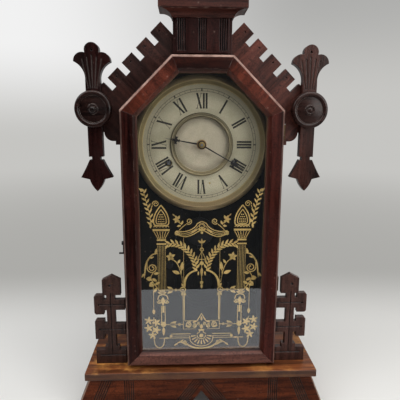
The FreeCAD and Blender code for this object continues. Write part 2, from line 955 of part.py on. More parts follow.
def bracket_outline():
    """The outside of a right bracket: block, arms and gable, before it is pierced."""
    x0 = CASE[1][0]
    x1 = x0 + bracket_span
    gable_in = x0 + bracket_gable_offset - bracket_gable / 2
    gable_out = gable_in + bracket_gable
    stem_in = x0 + bracket_stem_inner
    middle = x0 + bracket_gable_offset
    eaves = bracket_inner_arm + bracket_undercut
    points = [(x0, 0), (x1, 0), (x1, bracket_arm_top - bracket_corner),
              (x1 - bracket_corner, bracket_arm_top), (gable_out, bracket_arm_top),
              (gable_out, bracket_shoulder), (middle, bracket_apex), (gable_in, bracket_shoulder),
              (gable_in, eaves), (stem_in, eaves), (stem_in, bracket_inner_arm), (x0, bracket_inner_arm)]
    return [(x, z + shelf_top) for x, z in points]


def bracket_openings():
    """Boxes (inner x, outer x, low z, high z) that are cut from a right bracket."""
    x0 = CASE[1][0]
    x1 = x0 + bracket_span + SAFE
    inside = x0 - SAFE
    tee_in, tee_out = x0 + bracket_tee, x0 + bracket_tee + bracket_tee_width
    slot_mid = (bracket_slot_low + bracket_slot_high) / 2
    tee_low, tee_high = slot_mid - bracket_tee_height / 2, slot_mid + bracket_tee_height / 2
    window_low, window_high = slot_mid - bracket_window_height / 2, slot_mid + bracket_window_height / 2
    step_top = bracket_block + bracket_step_rise
    notch_top = bracket_lower_arm + bracket_notch_rise
    stem_in, step_in = x0 + bracket_stem_inner, x0 + bracket_stem_inner - bracket_step
    return [(tee_in, x1, bracket_slot_low, bracket_slot_high),
            (tee_in, tee_out, tee_low, tee_high),
            (inside, stem_in, window_low, window_high),
            (tee_in + bracket_step, x1, bracket_block, bracket_lower_arm),
            (tee_in, tee_in + bracket_step, step_top, notch_top),
            (inside, step_in, bracket_block, notch_top),
            (step_in, stem_in, step_top, notch_top),
            (tee_in, tee_out, bracket_inner_arm, bracket_inner_arm + bracket_undercut)]


def bracket_corners():
    """Triangles (points of x and z) that are cut off the outer corners at the slot."""
    x1 = CASE[1][0] + bracket_span
    low, high = shelf_top + bracket_slot_low, shelf_top + bracket_slot_high
    return [[(x1 - bracket_corner, low), (x1 + SAFE, low - bracket_corner - SAFE), (x1 + SAFE, low)],
            [(x1 - bracket_corner, high), (x1 + SAFE, high), (x1 + SAFE, high + bracket_corner + SAFE)]]


def right_bracket():
    """A pierced board beside the case, standing on the shelf."""
    y0, y1 = bracket_front - SAFE, bracket_back + SAFE
    board = prism(bracket_outline(), bracket_front, bracket_back)
    for xa, xb, za, zb in bracket_openings():
        board = board.cut(box(xa, xb, y0, y1, za + shelf_top, zb + shelf_top))
    for corner in bracket_corners():
        board = board.cut(prism(corner, y0, y1))
    hole_x, hole_z = CASE[1][0] + bracket_hole_offset, shelf_top + bracket_apex - bracket_hole_drop
    board = board.cut(rod(hole_x, hole_z, bracket_hole / 2, y0, y1))
    for cut in bracket_lines():
        board = board.cut(cut)
    return board


def bracket_lines():
    """Incised lines on the arms, the stem and the block, with a pit at the outer end of each arm."""
    x0 = CASE[1][0]
    inner, outer = x0 - SAFE, x0 + bracket_span - bracket_line_margin
    stem = x0 + (bracket_stem_inner + bracket_tee) / 2
    upper = shelf_top + (bracket_slot_high + bracket_arm_top) / 2
    lower = shelf_top + (bracket_lower_arm + bracket_slot_low) / 2
    block = shelf_top + bracket_block_line
    lines = [groove((inner, z), (outer, z), bracket_front) for z in (upper, lower, block)]
    stem_top = shelf_top + bracket_inner_arm + bracket_line_rise
    lines.append(groove((stem, block), (stem, stem_top), bracket_front))
    for z in (upper, lower):
        lines.append(rod(outer, z, bracket_pit / 2, bracket_front - SAFE, bracket_front + bracket_pit_depth))
    return lines


# Dial


def winding_spots():
    """Left and right winding arbors."""
    return [(-arbor_offset, dial_z - arbor_drop), (arbor_offset, dial_z - arbor_drop)]


def dial_pan():
    """A pressed disc with a sunk centre."""
    points = [(dish_hole, pan_front + dish_depth), (dish_radius, pan_front + dish_depth),
              (dish_radius, pan_front), (dial_radius, pan_front), (dial_radius, pan_back),
              (dish_radius + dial_sheet, pan_back), (dish_radius + dial_sheet, dish_back),
              (dish_hole, dish_back)]
    pan = turned(loop_of(points), 0, dial_z)
    for x, z in winding_spots():
        pan = pan.cut(rod(x, z, winding_hole, pan_front - SAFE, pan_back + SAFE))
    regulator = rod(regulator_x, dial_z - regulator_drop, regulator_hole, pan_front - SAFE, pan_back + SAFE)
    return pan.cut(regulator)


def dial_paper():
    """The printed sheet between the rim and the inner ring."""
    sheet = ring(0, dial_z, bezel_radius - bezel_width, dish_radius + inner_ring_width,
                 pan_front - paper_thickness, pan_front)
    for x, z in winding_spots():
        sheet = sheet.cut(rod(x, z, winding_hole, pan_front - SAFE, pan_back + SAFE))
    regulator_z = dial_z - regulator_drop
    return sheet.cut(rod(regulator_x, regulator_z, regulator_hole, pan_front - SAFE, pan_back + SAFE))


def dial_bezel():
    """The brass rim: a slope from the paper up to a crest, then a bowed fall to the edge."""
    inner = bezel_radius - bezel_width
    crest = inner + bezel_crest
    front = pan_front - bezel_height
    foot = pan_front - bezel_lip
    bow = (between(crest, bezel_radius, bezel_bow_out), between(front, foot, bezel_bow_down))
    profile = [((inner, pan_front), (bezel_radius, pan_front)),
               ((bezel_radius, pan_front), (bezel_radius, foot)),
               ((bezel_radius, foot), bow, (crest, front)),
               ((crest, front), (inner, foot)),
               ((inner, foot), (inner, pan_front))]
    return turned(profile, 0, dial_z)


def dial_inner_ring():
    """The brass ring with two beads round the sunk centre."""
    outer = dish_radius + inner_ring_width
    middle = dish_radius + inner_ring_width / 2
    valley = pan_front - inner_ring_valley
    profile = [((dish_radius, pan_front), (outer, pan_front)),
               ((outer, pan_front), ((outer + middle) / 2, ring_front), (middle, valley)),
               ((middle, valley), ((middle + dish_radius) / 2, (ring_front + valley) / 2),
                (dish_radius, pan_front))]
    return turned(profile, 0, dial_z)


def block_angles():
    """Directions of the four dial blocks: both sides and both slopes."""
    return (0, block_slope_degrees, half_turn_degrees - block_slope_degrees, half_turn_degrees)


def wall_distance(angle):
    """From the dial's middle to the inside of the case."""
    inner = inset(CASE, case_wall)
    if angle in (0, half_turn_degrees):
        return inner[2][0]
    return (inner[2][0] + inner[2][1] - dial_z) * math.sqrt(0.5)


def dial_blocks():
    """Wooden blocks on the walls, to which the dial is nailed."""
    blocks = []
    for angle in block_angles():
        near, far = dial_radius - dial_block_grip, wall_distance(angle)
        low, high = dial_z - dial_block_width / 2, dial_z + dial_block_width / 2
        block = box(near, far, pan_back, pan_back + dial_block_depth, low, high)
        block.rotate(V(0, 0, dial_z), V(0, -1, 0), angle)
        blocks.append(block)
    return group(blocks)


# Hands and motion work


def gear(teeth, pitch_radius, y0, y1, bore, turn=0.0):
    """A spur wheel with straight-sided teeth and backlash, at the dial axis."""
    module = 2 * pitch_radius / teeth
    pitch = 2 * math.pi / teeth
    tip, root = tooth_addendum * module, -tooth_dedendum * module
    steps = ((-tooth_root_share, root), (-tooth_tip_share, tip),
             (tooth_tip_share, tip), (tooth_root_share, root))
    points = []
    for i in range(teeth):
        for share, rise in steps:
            angle = turn + (i + share) * pitch
            points.append(((pitch_radius + rise) * math.cos(angle), (pitch_radius + rise) * math.sin(angle)))
    wheel = prism(points, y0, y1)
    return wheel.cut(rod(0, 0, bore, y0 - SAFE, y1 + SAFE)) if bore else wheel


def placed(shape, x, z):
    """A shape moved to a point of the movement."""
    shape.translate(V(x, 0, z))
    return shape


def hand(length, width, cross_radius, cross, boss, bore, y0):
    """A straight hand with a four-lobed cross, pointing up from the axis."""
    y1 = y0 + hand_thickness
    slim = width * hand_taper
    spread = cross * cross_spread
    stem = prism([(-width, 0), (width, 0), (slim, cross_radius), (-slim, cross_radius)], y0, y1)
    tip = prism([(-slim, cross_radius), (slim, cross_radius), (0, length)], y0, y1)
    far = cross_radius + cross
    lobes = [prism([(0, cross_radius), (spread, far), (-spread, far)], y0, y1)]
    for quarter in range(1, 4):
        lobe = lobes[0].copy()
        lobe.rotate(V(0, 0, cross_radius), V(0, 1, 0), quarter * half_turn_degrees / 2)
        lobes.append(lobe)
    heart = rod(0, cross_radius, cross * cross_heart, y0, y1)
    whole = stem.fuse([tip, heart, rod(0, 0, boss, y0, y1)] + lobes)
    return whole.removeSplitter().cut(rod(0, 0, bore, y0 - SAFE, y1 + SAFE))


def set_to(shape, degrees):
    """A hand turned clockwise from twelve and moved to the dial's middle."""
    shape.rotate(V(0, 0, 0), V(0, 1, 0), degrees)
    return placed(shape, 0, dial_z)


def minute_degrees():
    """Where the minute hand points."""
    return minutes_shown * 2 * half_turn_degrees / minutes_round


def hour_degrees():
    """Where the hour hand points."""
    return (hours_shown + minutes_shown / minutes_round) * 2 * half_turn_degrees / hours_round


def hour_pipe_radius():
    """Outside of the hour pipe."""
    return cannon_radius + running_clearance + hour_pipe_wall


def cannon_pinion():
    """The tube that carries the minute hand, with the first pinion of the motion work."""
    bore = centre_arbor_radius + running_clearance
    pitch_radius = motion_centres * cannon_teeth / (cannon_teeth + minute_wheel_teeth)
    y0 = minute_wheel_front - wheel_gap / 2
    wheel = placed(gear(cannon_teeth, pitch_radius, y0, plate_front - wheel_gap / 2, bore), 0, dial_z)
    tube = ring(0, dial_z, cannon_radius, bore, minute_hand_front, y0 + SAFE)
    return tube.fuse(wheel).removeSplitter()


def hour_wheel():
    """The slow wheel and its pipe, which turns on the cannon."""
    bore = cannon_radius + running_clearance
    pitch_radius = motion_centres * hour_wheel_teeth / (hour_wheel_teeth + minute_pinion_teeth)
    y1 = hour_wheel_front + motion_wheel
    half_tooth = math.pi / hour_wheel_teeth
    wheel = gear(hour_wheel_teeth, pitch_radius, hour_wheel_front, y1, bore, half_tooth)
    wheel = placed(wheel, 0, dial_z)
    pipe = ring(0, dial_z, hour_pipe_radius(), bore, hour_hand_front, y1)
    return pipe.fuse(wheel).removeSplitter()


def minute_wheel():
    """The wheel and pinion between cannon and hour wheel."""
    bore = stud_radius + running_clearance
    wheel_radius = motion_centres * minute_wheel_teeth / (cannon_teeth + minute_wheel_teeth)
    pinion_radius = motion_centres * minute_pinion_teeth / (minute_pinion_teeth + hour_wheel_teeth)
    half_tooth = math.pi / minute_wheel_teeth
    y0 = minute_wheel_front
    wheel = gear(minute_wheel_teeth, wheel_radius, y0, y0 + motion_wheel, bore, half_tooth)
    pinion = gear(minute_pinion_teeth, pinion_radius, hour_wheel_front - wheel_gap / 2, y0, bore)
    return placed(wheel.fuse(pinion).removeSplitter(), -motion_centres, dial_z)


def hand_nut():
    """The brass nut over the minute hand."""
    bore = centre_arbor_radius + running_clearance
    nut = ring(0, dial_z, nut_radius, bore, minute_hand_front - nut_height, minute_hand_front)
    return nut.makeChamfer(nut_chamfer, [e for e in nut.Edges if front_circle(e)])


def front_circle(edge):
    """True for the outer front edge of the hand nut."""
    y = minute_hand_front - nut_height
    box_of = edge.BoundBox
    return box_of.YMax - y < SAFE / 10 and box_of.XLength > nut_radius + centre_arbor_radius


# Movement


def pillar_spots():
    """Four pillars, wide at the top and close together at the foot."""
    spots = []
    for side in (-1, 1):
        spots.append((side * pillar_top_x, dial_z + pillar_top_z))
        spots.append((side * pillar_low_x, dial_z - pillar_low_z))
    return spots


def plate_outline():
    """A plate that narrows to its lower edge."""
    low = pillar_low_x + plate_offset
    knee = dial_z - arbor_drop - great_wheel_hub
    return [(-low, dial_z - plate_bottom), (low, dial_z - plate_bottom), (plate_half_width, knee),
            (plate_half_width, dial_z + plate_top), (-plate_half_width, dial_z + plate_top),
            (-plate_half_width, knee)]


def plate(y0, verge_bore):
    """A movement plate with the holes that both plates share."""
    y1 = y0 + plate_thickness
    sheet = prism(plate_outline(), y0, y1)
    for x, z in pillar_spots():
        sheet = sheet.cut(rod(x, z, pillar_neck, y0 - SAFE, y1 + SAFE))
    sheet = sheet.cut(rod(0, verge_z, verge_bore, y0 - SAFE, y1 + SAFE))
    pivot = hammer_arbor + running_clearance
    sheet = sheet.cut(rod(-hammer_x, dial_z - hammer_z, pivot, y0 - SAFE, y1 + SAFE))
    for side in (-1, 1):
        x, z = side * arbor_offset, dial_z + arbor_drop
        sheet = sheet.cut(rod(x, z, plate_window_radius, y0 - SAFE, y1 + SAFE))
    return sheet


def front_plate():
    """The front plate, with the stud of the motion work."""
    sheet = plate(plate_front, verge_radius + running_clearance)
    sheet = sheet.cut(rod(0, dial_z, centre_arbor_radius, plate_front - SAFE, plate_inner + SAFE))
    for x, z in winding_spots():
        bore = winding_arbor_radius + running_clearance
        sheet = sheet.cut(rod(x, z, bore, plate_front - SAFE, plate_inner + SAFE))
    tip = hour_wheel_front - wheel_gap / 2 - 2 * running_clearance
    stud = rod(-motion_centres, dial_z, stud_radius, tip, plate_front)
    cap = rod(-motion_centres, dial_z, stud_cap_radius, tip - stud_cap_height, tip)
    return sheet.fuse([stud, cap]).removeSplitter()


def back_plate():
    """The rear plate."""
    sheet = plate(plate_far, verge_radius + running_clearance)
    for x, z in winding_spots():
        sheet = sheet.cut(rod(x, z, winding_pivot + running_clearance, plate_far - SAFE, plate_back + SAFE))
    return sheet


def plate_pillars():
    """Pillars that part the plates, run on to the back board and carry the movement."""
    pillars = []
    for x, z in pillar_spots():
        neck = rod(x, z, pillar_neck, plate_front - nut_thickness, plate_inner)
        body = rod(x, z, pillar_radius, plate_inner, plate_far)
        through = rod(x, z, pillar_neck, plate_far, plate_back)
        foot = rod(x, z, pillar_radius, plate_back, board_front)
        pillars.append(neck.fuse([body, through, foot]).removeSplitter())
    return group(pillars)


def pillar_nuts():
    """Hexagon nuts in front of the front plate."""
    nuts = []
    for x, z in pillar_spots():
        corners = []
        for i in range(nut_sides):
            turn = 2 * math.pi / nut_sides * i
            corners.append((x + nut_flats * math.cos(turn), z + nut_flats * math.sin(turn)))
        nut = prism(corners, plate_front - nut_thickness, plate_front)
        nuts.append(nut.cut(rod(x, z, pillar_neck, plate_front - 2 * nut_thickness, plate_front + SAFE)))
    return group(nuts)


def great_wheel_back():
    """Rear face of the great wheels."""
    return plate_inner + train_wheel + great_wheel_thickness


def great_wheel(x, z):
    """The first wheel of a train, loose on its winding arbor, with spokes."""
    y0 = plate_inner + train_wheel
    wheel = gear(great_wheel_teeth, great_wheel_radius, y0, y0 + great_wheel_thickness,
                 winding_arbor_radius + running_clearance)
    middle = (great_wheel_radius + great_wheel_hub) / 2
    opening = (great_wheel_radius - great_wheel_hub) / 2 - great_wheel_rim
    for i in range(great_wheel_crossings):
        turn = 2 * math.pi * i / great_wheel_crossings
        wheel = wheel.cut(rod(middle * math.cos(turn), middle * math.sin(turn), opening,
                              y0 - SAFE, y0 + great_wheel_thickness + SAFE))
    return placed(wheel, x, z)


def spiral_edges(inner, turns, pitch, y):
    """Half circles of growing radius that run smoothly into each other, from the inside out."""
    edges = []
    radius, start = inner, inner
    for i in range(2 * turns):
        way = 1 if i % 2 == 0 else -1
        end = start - 2 * way * radius
        middle = V((start + end) / 2, y, way * radius)
        edges.append(Part.Arc(V(start, y, 0), middle, V(end, y, 0)).toShape())
        start = end
        radius += pitch / 2
    return edges, start


def mainspring(x, z):
    """A coiled strip, wound from the inside out."""
    y0 = great_wheel_back() + wheel_gap
    inner_edges, inner_end = spiral_edges(spring_inner, spring_turns, spring_pitch, y0)
    outer_edges, outer_end = spiral_edges(spring_inner + spring_strip, spring_turns, spring_pitch, y0)
    caps = [Part.makeLine(V(spring_inner, y0, 0), V(spring_inner + spring_strip, y0, 0)),
            Part.makeLine(V(inner_end, y0, 0), V(outer_end, y0, 0))]
    outline = Part.Wire(Part.__sortEdges__(inner_edges + outer_edges + caps))
    return placed(Part.Face(outline).extrude(V(0, spring_width, 0)), x, z)


def winding_arbor(x, z):
    """A winding arbor with a squared front end."""
    tip = pan_front - winding_tip_gap
    square_end = tip + winding_square_length
    half = winding_square / 2
    square = box(x - half, x + half, tip, square_end, z - half, z + half)
    body = rod(x, z, winding_arbor_radius, square_end, plate_far - wheel_gap)
    pivot = rod(x, z, winding_pivot, plate_far - wheel_gap, plate_back)
    return square.fuse([body, pivot]).removeSplitter()


def train_arbor(x, z, teeth, radius, level, extra=()):
    """A wheel on an arbor between the plates."""
    y0 = plate_inner + level
    wheel = placed(gear(teeth, radius, y0, y0 + train_wheel, 0), x, z)
    arbor = rod(x, z, train_pivot, plate_inner, plate_far)
    return wheel.fuse([arbor] + list(extra)).removeSplitter()


def centre_arbor():
    """The arbor that drives the hands, with its wheel."""
    y0 = plate_inner + centre_wheel_level
    wheel = placed(gear(centre_wheel_teeth, centre_wheel_radius, y0, y0 + train_wheel, 0), 0, dial_z)
    front = minute_hand_front - nut_height - hand_clearance
    return wheel.fuse(rod(0, dial_z, centre_arbor_radius, front, plate_far)).removeSplitter()


def third_wheel():
    """The wheel between centre and escapement, with its pinion."""
    x, z = third_x, dial_z + third_z
    pinion = rod(x, z, third_pinion, plate_inner + centre_wheel_level - SAFE, plate_far - SAFE)
    return train_arbor(x, z, third_teeth, third_radius, third_level, [pinion])


def escape_wheel():
    """The last wheel of the going train."""
    return train_arbor(0, dial_z + escape_height, escape_teeth, escape_radius, escape_level)


def verge():
    """Anchor, arbor and crutch in one swinging piece."""
    y0 = plate_inner + escape_level
    foot = verge_z - anchor_drop
    arms = [(-anchor_reach, foot), (-anchor_reach + anchor_width, foot - anchor_width),
            (0, verge_z - anchor_width), (anchor_reach - anchor_width, foot - anchor_width),
            (anchor_reach, foot), (0, verge_z + 2 * anchor_width)]
    crutch_y = plate_back + crutch_offset
    arbor = rod(0, verge_z, verge_radius, plate_front, crutch_y + crutch_wire)
    wire = Part.makeCylinder(crutch_wire, crutch_length, V(0, crutch_y, verge_z - crutch_length))
    low = verge_z - crutch_length
    parts = [arbor, wire]
    gap = pendulum_rod + crutch_play
    reach = gap + 2 * crutch_wire
    bridge = box(-reach, reach, crutch_y - crutch_wire, crutch_y + crutch_wire,
                 low - crutch_wire, low + crutch_wire)
    parts.append(bridge)
    for side in (-1, 1):
        x = side * (gap + crutch_wire)
        parts.append(rod(x, low, crutch_wire, crutch_y, pendulum_y + 2 * pendulum_rod))
    return prism(arms, y0, y0 + train_wheel).fuse(parts).removeSplitter()


def suspension_cock():
    """The slotted block from which the pendulum hangs."""
    low = verge_z + suspension_rise - cock_height / 2
    back = pendulum_y + suspension_width
    block = box(-cock_width / 2, cock_width / 2, plate_back, back, low, low + cock_height)
    slot = suspension_strip / 2 + cock_play
    return block.cut(box(-slot, slot, pendulum_y - suspension_width / 2 - cock_play, back + SAFE,
                         low - SAFE, verge_z + suspension_rise + cock_play))


def pendulum_rod_solid():
    """The wire rod, flattened to a spring at its top, with the rating nut under the bob."""
    top = verge_z + suspension_rise
    knee = top - suspension_length
    low = verge_z - pendulum_length - bob_radius - bob_nut_height
    half = suspension_width / 2
    strip = box(-suspension_strip / 2, suspension_strip / 2, pendulum_y - half, pendulum_y + half,
                knee - pendulum_rod, top)
    wire = Part.makeCylinder(pendulum_rod, knee - low, V(0, pendulum_y, low))
    nut = Part.makeCylinder(bob_nut, bob_nut_height, V(0, pendulum_y, low))
    return wire.fuse([strip, nut]).removeSplitter()


def pendulum_bob():
    """A lens-shaped bob with a flat rim, bored for the rod."""
    front, back = pendulum_y - bob_rim / 2, pendulum_y + bob_rim / 2
    rise = (bob_thickness - bob_rim) / 2
    profile = [((0, front - rise), dome_middle(bob_radius, rise, front, -1), (bob_radius, front)),
               ((bob_radius, front), (bob_radius, back)),
               ((bob_radius, back), dome_middle(bob_radius, rise, back, 1), (0, back + rise)),
               ((0, back + rise), (0, front - rise))]
    centre = verge_z - pendulum_length
    bob = turned(profile, 0, centre)
    bore = Part.makeCylinder(pendulum_rod, 4 * bob_radius, V(0, pendulum_y, centre - 2 * bob_radius))
    return bob.cut(bore)


def hammer():
    """Arbor, wire and head of the hour hammer."""
    y = plate_back + hammer_offset
    pivot = V(-hammer_x, y, dial_z - hammer_z)
    head = V(-hammer_head_x, y, shelf_top + hammer_head_z)
    arbor = rod(pivot.x, pivot.z, hammer_arbor, plate_front, y + 2 * hammer_wire)
    wire = Part.makeCylinder(hammer_wire, pivot.distanceToPoint(head), pivot, head - pivot)
    block = rod(head.x, head.z, hammer_head_radius, y - hammer_head_front, y + hammer_head_back)
    return arbor.fuse([wire, block]).removeSplitter()


def gong_block():
    """The cast foot that holds the gong, screwed to the back board."""
    half = gong_block_width / 2
    z = shelf_top + gong_height
    foot = box(-gong_foot / 2, gong_foot / 2, board_front - gong_foot_thickness, board_front,
               z - gong_block_height / 2, z + gong_block_height / 2)
    post = box(-half, half, board_front - gong_block_depth, board_front, z - half, z + half)
    return foot.fuse(post).removeSplitter().cut(gong_coil())


def gong_coil():
    """A flat coil of steel wire: half circles of growing radius as one tube."""
    y = board_front - gong_offset - gong_wire
    edges, end = spiral_edges(gong_inner, gong_turns, gong_pitch, y)
    lead = Part.makeLine(V(gong_inner, y, -gong_inner), V(gong_inner, y, 0))
    path = Part.Wire([lead] + edges)
    profile = Part.Wire(Part.makeCircle(gong_wire, V(gong_inner, y, -gong_inner), V(0, 0, 1)))
    return placed(path.makePipeShell([profile], True, False), 0, shelf_top + gong_height)


def least_turn_gap():
    """The least gap between turns of the gong, measured between points two half turns apart."""
    edges, end = spiral_edges(gong_inner, gong_turns, gong_pitch, 0)
    rows = [edge.discretize(gap_samples) for edge in edges]
    pairs = [(a, b) for a, b in zip(rows, rows[2:])]
    nearest = min(p.distanceToPoint(q) for a, b in pairs for p in a for q in b)
    return nearest - 2 * gong_wire


def case_nodes():
    """Base, shelf, case and back."""
    end = base_side()
    right, right_slope, top, left_slope, left = case_walls()
    return {"base_front": base_front(), "base_sides": group([end, mirrored(end)]),
            "shelf_board": shelf_board(),
            "case_right_side": right, "case_left_side": left, "case_slopes": group([right_slope, left_slope]),
            "case_top": top, "back_board": back_board()}


def door_nodes():
    """The door with its pane, hinges and latch."""
    bottom, right, right_slope, top, left_slope, left = door_members()
    levels = (shelf_top + hinge_low, shelf_top + hinge_high)
    return {"door_bottom_rail": bottom, "door_top_rail": top,
            "door_right_stile": right, "door_left_stile": left,
            "door_diagonals": group([right_slope, left_slope]), "door_glass": door_glass(),
            "glass_beads": glass_beads(), "hinge_case_leaves": group([case_leaf(z) for z in levels]),
            "hinge_door_leaves": group([door_leaf(z) for z in levels]),
            "hinge_pins": group([hinge_pin_solid(z) for z in levels]),
            "latch_hook": latch_hook(), "latch_screw": latch_screw(), "catch_pin": catch_pin()}


def ornament_nodes():
    """Wings, drops, rosettes, crown and brackets."""
    return {"right_wing": right_wing(), "left_wing": mirrored(right_wing()),
            "right_drop": right_drop(), "left_drop": mirrored(right_drop()),
            "rosettes": group([rosette(-1), rosette(1)]), "neck_block": neck_block(),
            "cove_moulding": cove_moulding(), "crown_cap": crown_cap(),
            "right_bracket": right_bracket(), "left_bracket": mirrored(right_bracket())}


def dial_nodes():
    """Dial, hands and motion work."""
    minute = hand(minute_hand_length, minute_hand_width, minute_cross_radius, minute_cross,
                  cannon_radius + hand_boss, cannon_radius, minute_hand_front)
    hour = hand(hour_hand_length, hour_hand_width, hour_cross_radius, hour_cross,
                hour_pipe_radius() + hand_boss, hour_pipe_radius(), hour_hand_front)
    return {"dial_pan": dial_pan(), "dial_paper": dial_paper(), "dial_bezel": dial_bezel(),
            "dial_inner_ring": dial_inner_ring(), "dial_blocks": dial_blocks(),
            "minute_hand": set_to(minute, minute_degrees()), "hour_hand": set_to(hour, hour_degrees()),
            "cannon_pinion": cannon_pinion(), "hour_wheel": hour_wheel(), "minute_wheel": minute_wheel(),
            "hand_nut": hand_nut()}


def movement_nodes():
    """Plates, trains, escapement, pendulum, hammer and gong."""
    strike, going = winding_spots()
    return {"front_plate": front_plate(), "back_plate": back_plate(), "plate_pillars": plate_pillars(),
            "pillar_nuts": pillar_nuts(), "great_wheels": group([great_wheel(*strike), great_wheel(*going)]),
            "mainsprings": group([mainspring(*strike), mainspring(*going)]),
            "strike_winding_arbor": winding_arbor(*strike), "time_winding_arbor": winding_arbor(*going),
            "centre_arbor": centre_arbor(), "third_wheel": third_wheel(), "escape_wheel": escape_wheel(),
            "verge": verge(), "suspension_cock": suspension_cock(), "pendulum_rod": pendulum_rod_solid(),
            "pendulum_bob": pendulum_bob(), "hammer": hammer(),
            "gong_block": gong_block(), "gong_coil": gong_coil()}


os.makedirs("parts", exist_ok=True)
nodes = {**case_nodes(), **door_nodes(), **ornament_nodes(), **dial_nodes(), **movement_nodes()}
for node, shape in nodes.items():
    shape.exportStep(f"parts/{node}.step")
    print(node, len(shape.Solids), round(shape.Volume, 1), shape.isValid())
print("nodes", len(nodes), "least gap in the gong", round(least_turn_gap(), 2))
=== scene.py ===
# %% [markdown]
# # A walnut shelf clock
# The clock's boards, door, dial and movement come from the CAD model as a fixed frame. A camera is set up
# first. Then the pieces get their finishes, the dial its print and the pane its gilt, and a floor, lamps
# and a room come last.

# %% Load the clock
import bmesh
import bpy
import math
from mathutils import Matrix, Vector


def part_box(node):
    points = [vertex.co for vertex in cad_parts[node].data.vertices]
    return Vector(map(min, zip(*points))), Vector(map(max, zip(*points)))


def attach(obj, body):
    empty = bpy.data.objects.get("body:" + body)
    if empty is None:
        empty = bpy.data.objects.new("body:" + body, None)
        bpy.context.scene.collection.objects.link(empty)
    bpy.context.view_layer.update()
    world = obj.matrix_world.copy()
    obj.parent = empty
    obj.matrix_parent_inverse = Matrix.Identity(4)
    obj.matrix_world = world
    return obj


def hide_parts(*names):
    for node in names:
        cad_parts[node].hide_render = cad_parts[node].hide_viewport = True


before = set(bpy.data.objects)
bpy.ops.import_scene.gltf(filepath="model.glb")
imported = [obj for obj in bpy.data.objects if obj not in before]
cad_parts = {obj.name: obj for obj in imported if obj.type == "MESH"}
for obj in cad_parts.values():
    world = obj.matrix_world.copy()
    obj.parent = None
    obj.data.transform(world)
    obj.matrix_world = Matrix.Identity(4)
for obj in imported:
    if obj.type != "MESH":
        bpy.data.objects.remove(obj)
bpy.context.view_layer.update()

scene = bpy.context.scene
scene.view_settings.view_transform = "Standard"
MM = 0.001

# %% [markdown]
# ## The camera
# The picture was taken from a little left of the middle and above the dial, looking slightly down. A camera
# matrix is built from three directions: what is right, what is up and what is behind in the picture.
# Writing them down is safer than guessing turn angles, because each can be read and tested alone.

# %% Camera
YAW, PITCH, ROLL = 0.0390, 0.1968, -0.0044
CAMERA_PLACE = (-0.02054, -0.50459, 0.36712)
SENSOR_WIDTH, FOCAL_LENGTH, NEAREST = 36.0, 36.19, 0.01
ahead = Vector((math.sin(YAW) * math.cos(PITCH), math.cos(YAW) * math.cos(PITCH), -math.sin(PITCH)))
level = Vector((math.cos(YAW), -math.sin(YAW), 0))
upward = level.cross(ahead)
right = level * math.cos(ROLL) - upward * math.sin(ROLL)
top = level * math.sin(ROLL) + upward * math.cos(ROLL)
lens = bpy.data.cameras.new("photo_camera")
lens.sensor_width = SENSOR_WIDTH
lens.lens = FOCAL_LENGTH
lens.clip_start = NEAREST
camera = bpy.data.objects.new("photo_camera", lens)
turned = Matrix((right, top, -ahead)).transposed().to_4x4()
camera.matrix_world = Matrix.Translation(CAMERA_PLACE) @ turned
scene.collection.objects.link(camera)
scene.camera = camera
print("camera looks along", [round(v, 3) for v in ahead])

# %% [markdown]
# ## Small helpers for nodes
# A material is a tree of nodes. Written out in full, each node takes several lines, so a few helpers keep
# the trees short to read. They all rest on one rule: a value that is itself a socket becomes a link, and
# any other value is set on the input.


# %% Node helpers
def fill(tree, node, values):
    """Sets a node's inputs, given by name or number, to plain values or links."""
    for key, value in values.items():
        if isinstance(value, bpy.types.NodeSocket):
            tree.links.new(value, node.inputs[key])
        else:
            node.inputs[key].default_value = value


def add(tree, kind, values=None, **settings):
    """The outputs of a new node."""
    node = tree.nodes.new(kind)
    for name, value in settings.items():
        setattr(node, name, value)
    fill(tree, node, values or {})
    return node.outputs


def math_step(operation):
    """A function that adds one Math node."""
    def step(tree, *values):
        return add(tree, "ShaderNodeMath", dict(enumerate(values)), operation=operation)[0]
    return step


times, plus, minus, absolute = (math_step(name) for name in ("MULTIPLY", "ADD", "SUBTRACT", "ABSOLUTE"))
times_plus, larger, below = (math_step(name) for name in ("MULTIPLY_ADD", "MAXIMUM", "LESS_THAN"))


def vector_math(tree, operation, *values):
    return add(tree, "ShaderNodeVectorMath", dict(enumerate(values)), operation=operation)


def ramp(tree, value, low, high, start=0.0, end=1.0):
    """A smooth step from start to end while the value goes from low to high."""
    return add(tree, "ShaderNodeMapRange", {0: value, 1: low, 2: high, 3: start, 4: end},
               interpolation_type="SMOOTHSTEP")[0]


def blend_colour(tree, share, first, second):
    """A colour between two others, which are sockets or plain red, green and blue."""
    colours = [c if isinstance(c, bpy.types.NodeSocket) else (*c, 1.0) for c in (first, second)]
    return add(tree, "ShaderNodeMix", {0: share, 6: colours[0], 7: colours[1]}, data_type="RGBA")[2]


def noise(tree, place, scale, detail=2.0, roughness=0.5):
    return add(tree, "ShaderNodeTexNoise",
               {"Vector": place, "Scale": scale, "Detail": detail, "Roughness": roughness})


def object_place(tree):
    """The place of a point on its piece, which is also its place on the closed clock."""
    return add(tree, "ShaderNodeTexCoord")["Object"]


def split(tree, vector):
    return add(tree, "ShaderNodeSeparateXYZ", {0: vector})


print("node helpers ready")


# %% Group and material helpers
def new_group(name, inputs, masks, normals=()):
    """A shader node group: its inputs with their usual values, and the names of what it puts out."""
    tree = bpy.data.node_groups.new(name, "ShaderNodeTree")
    for label, usual in inputs.items():
        tree.interface.new_socket(label, in_out="INPUT", socket_type="NodeSocketFloat").default_value = usual
    for labels, kind in ((masks, "NodeSocketFloat"), (normals, "NodeSocketVector")):
        for label in labels:
            tree.interface.new_socket(label, in_out="OUTPUT", socket_type=kind)
    return tree, tree.nodes.new("NodeGroupInput").outputs


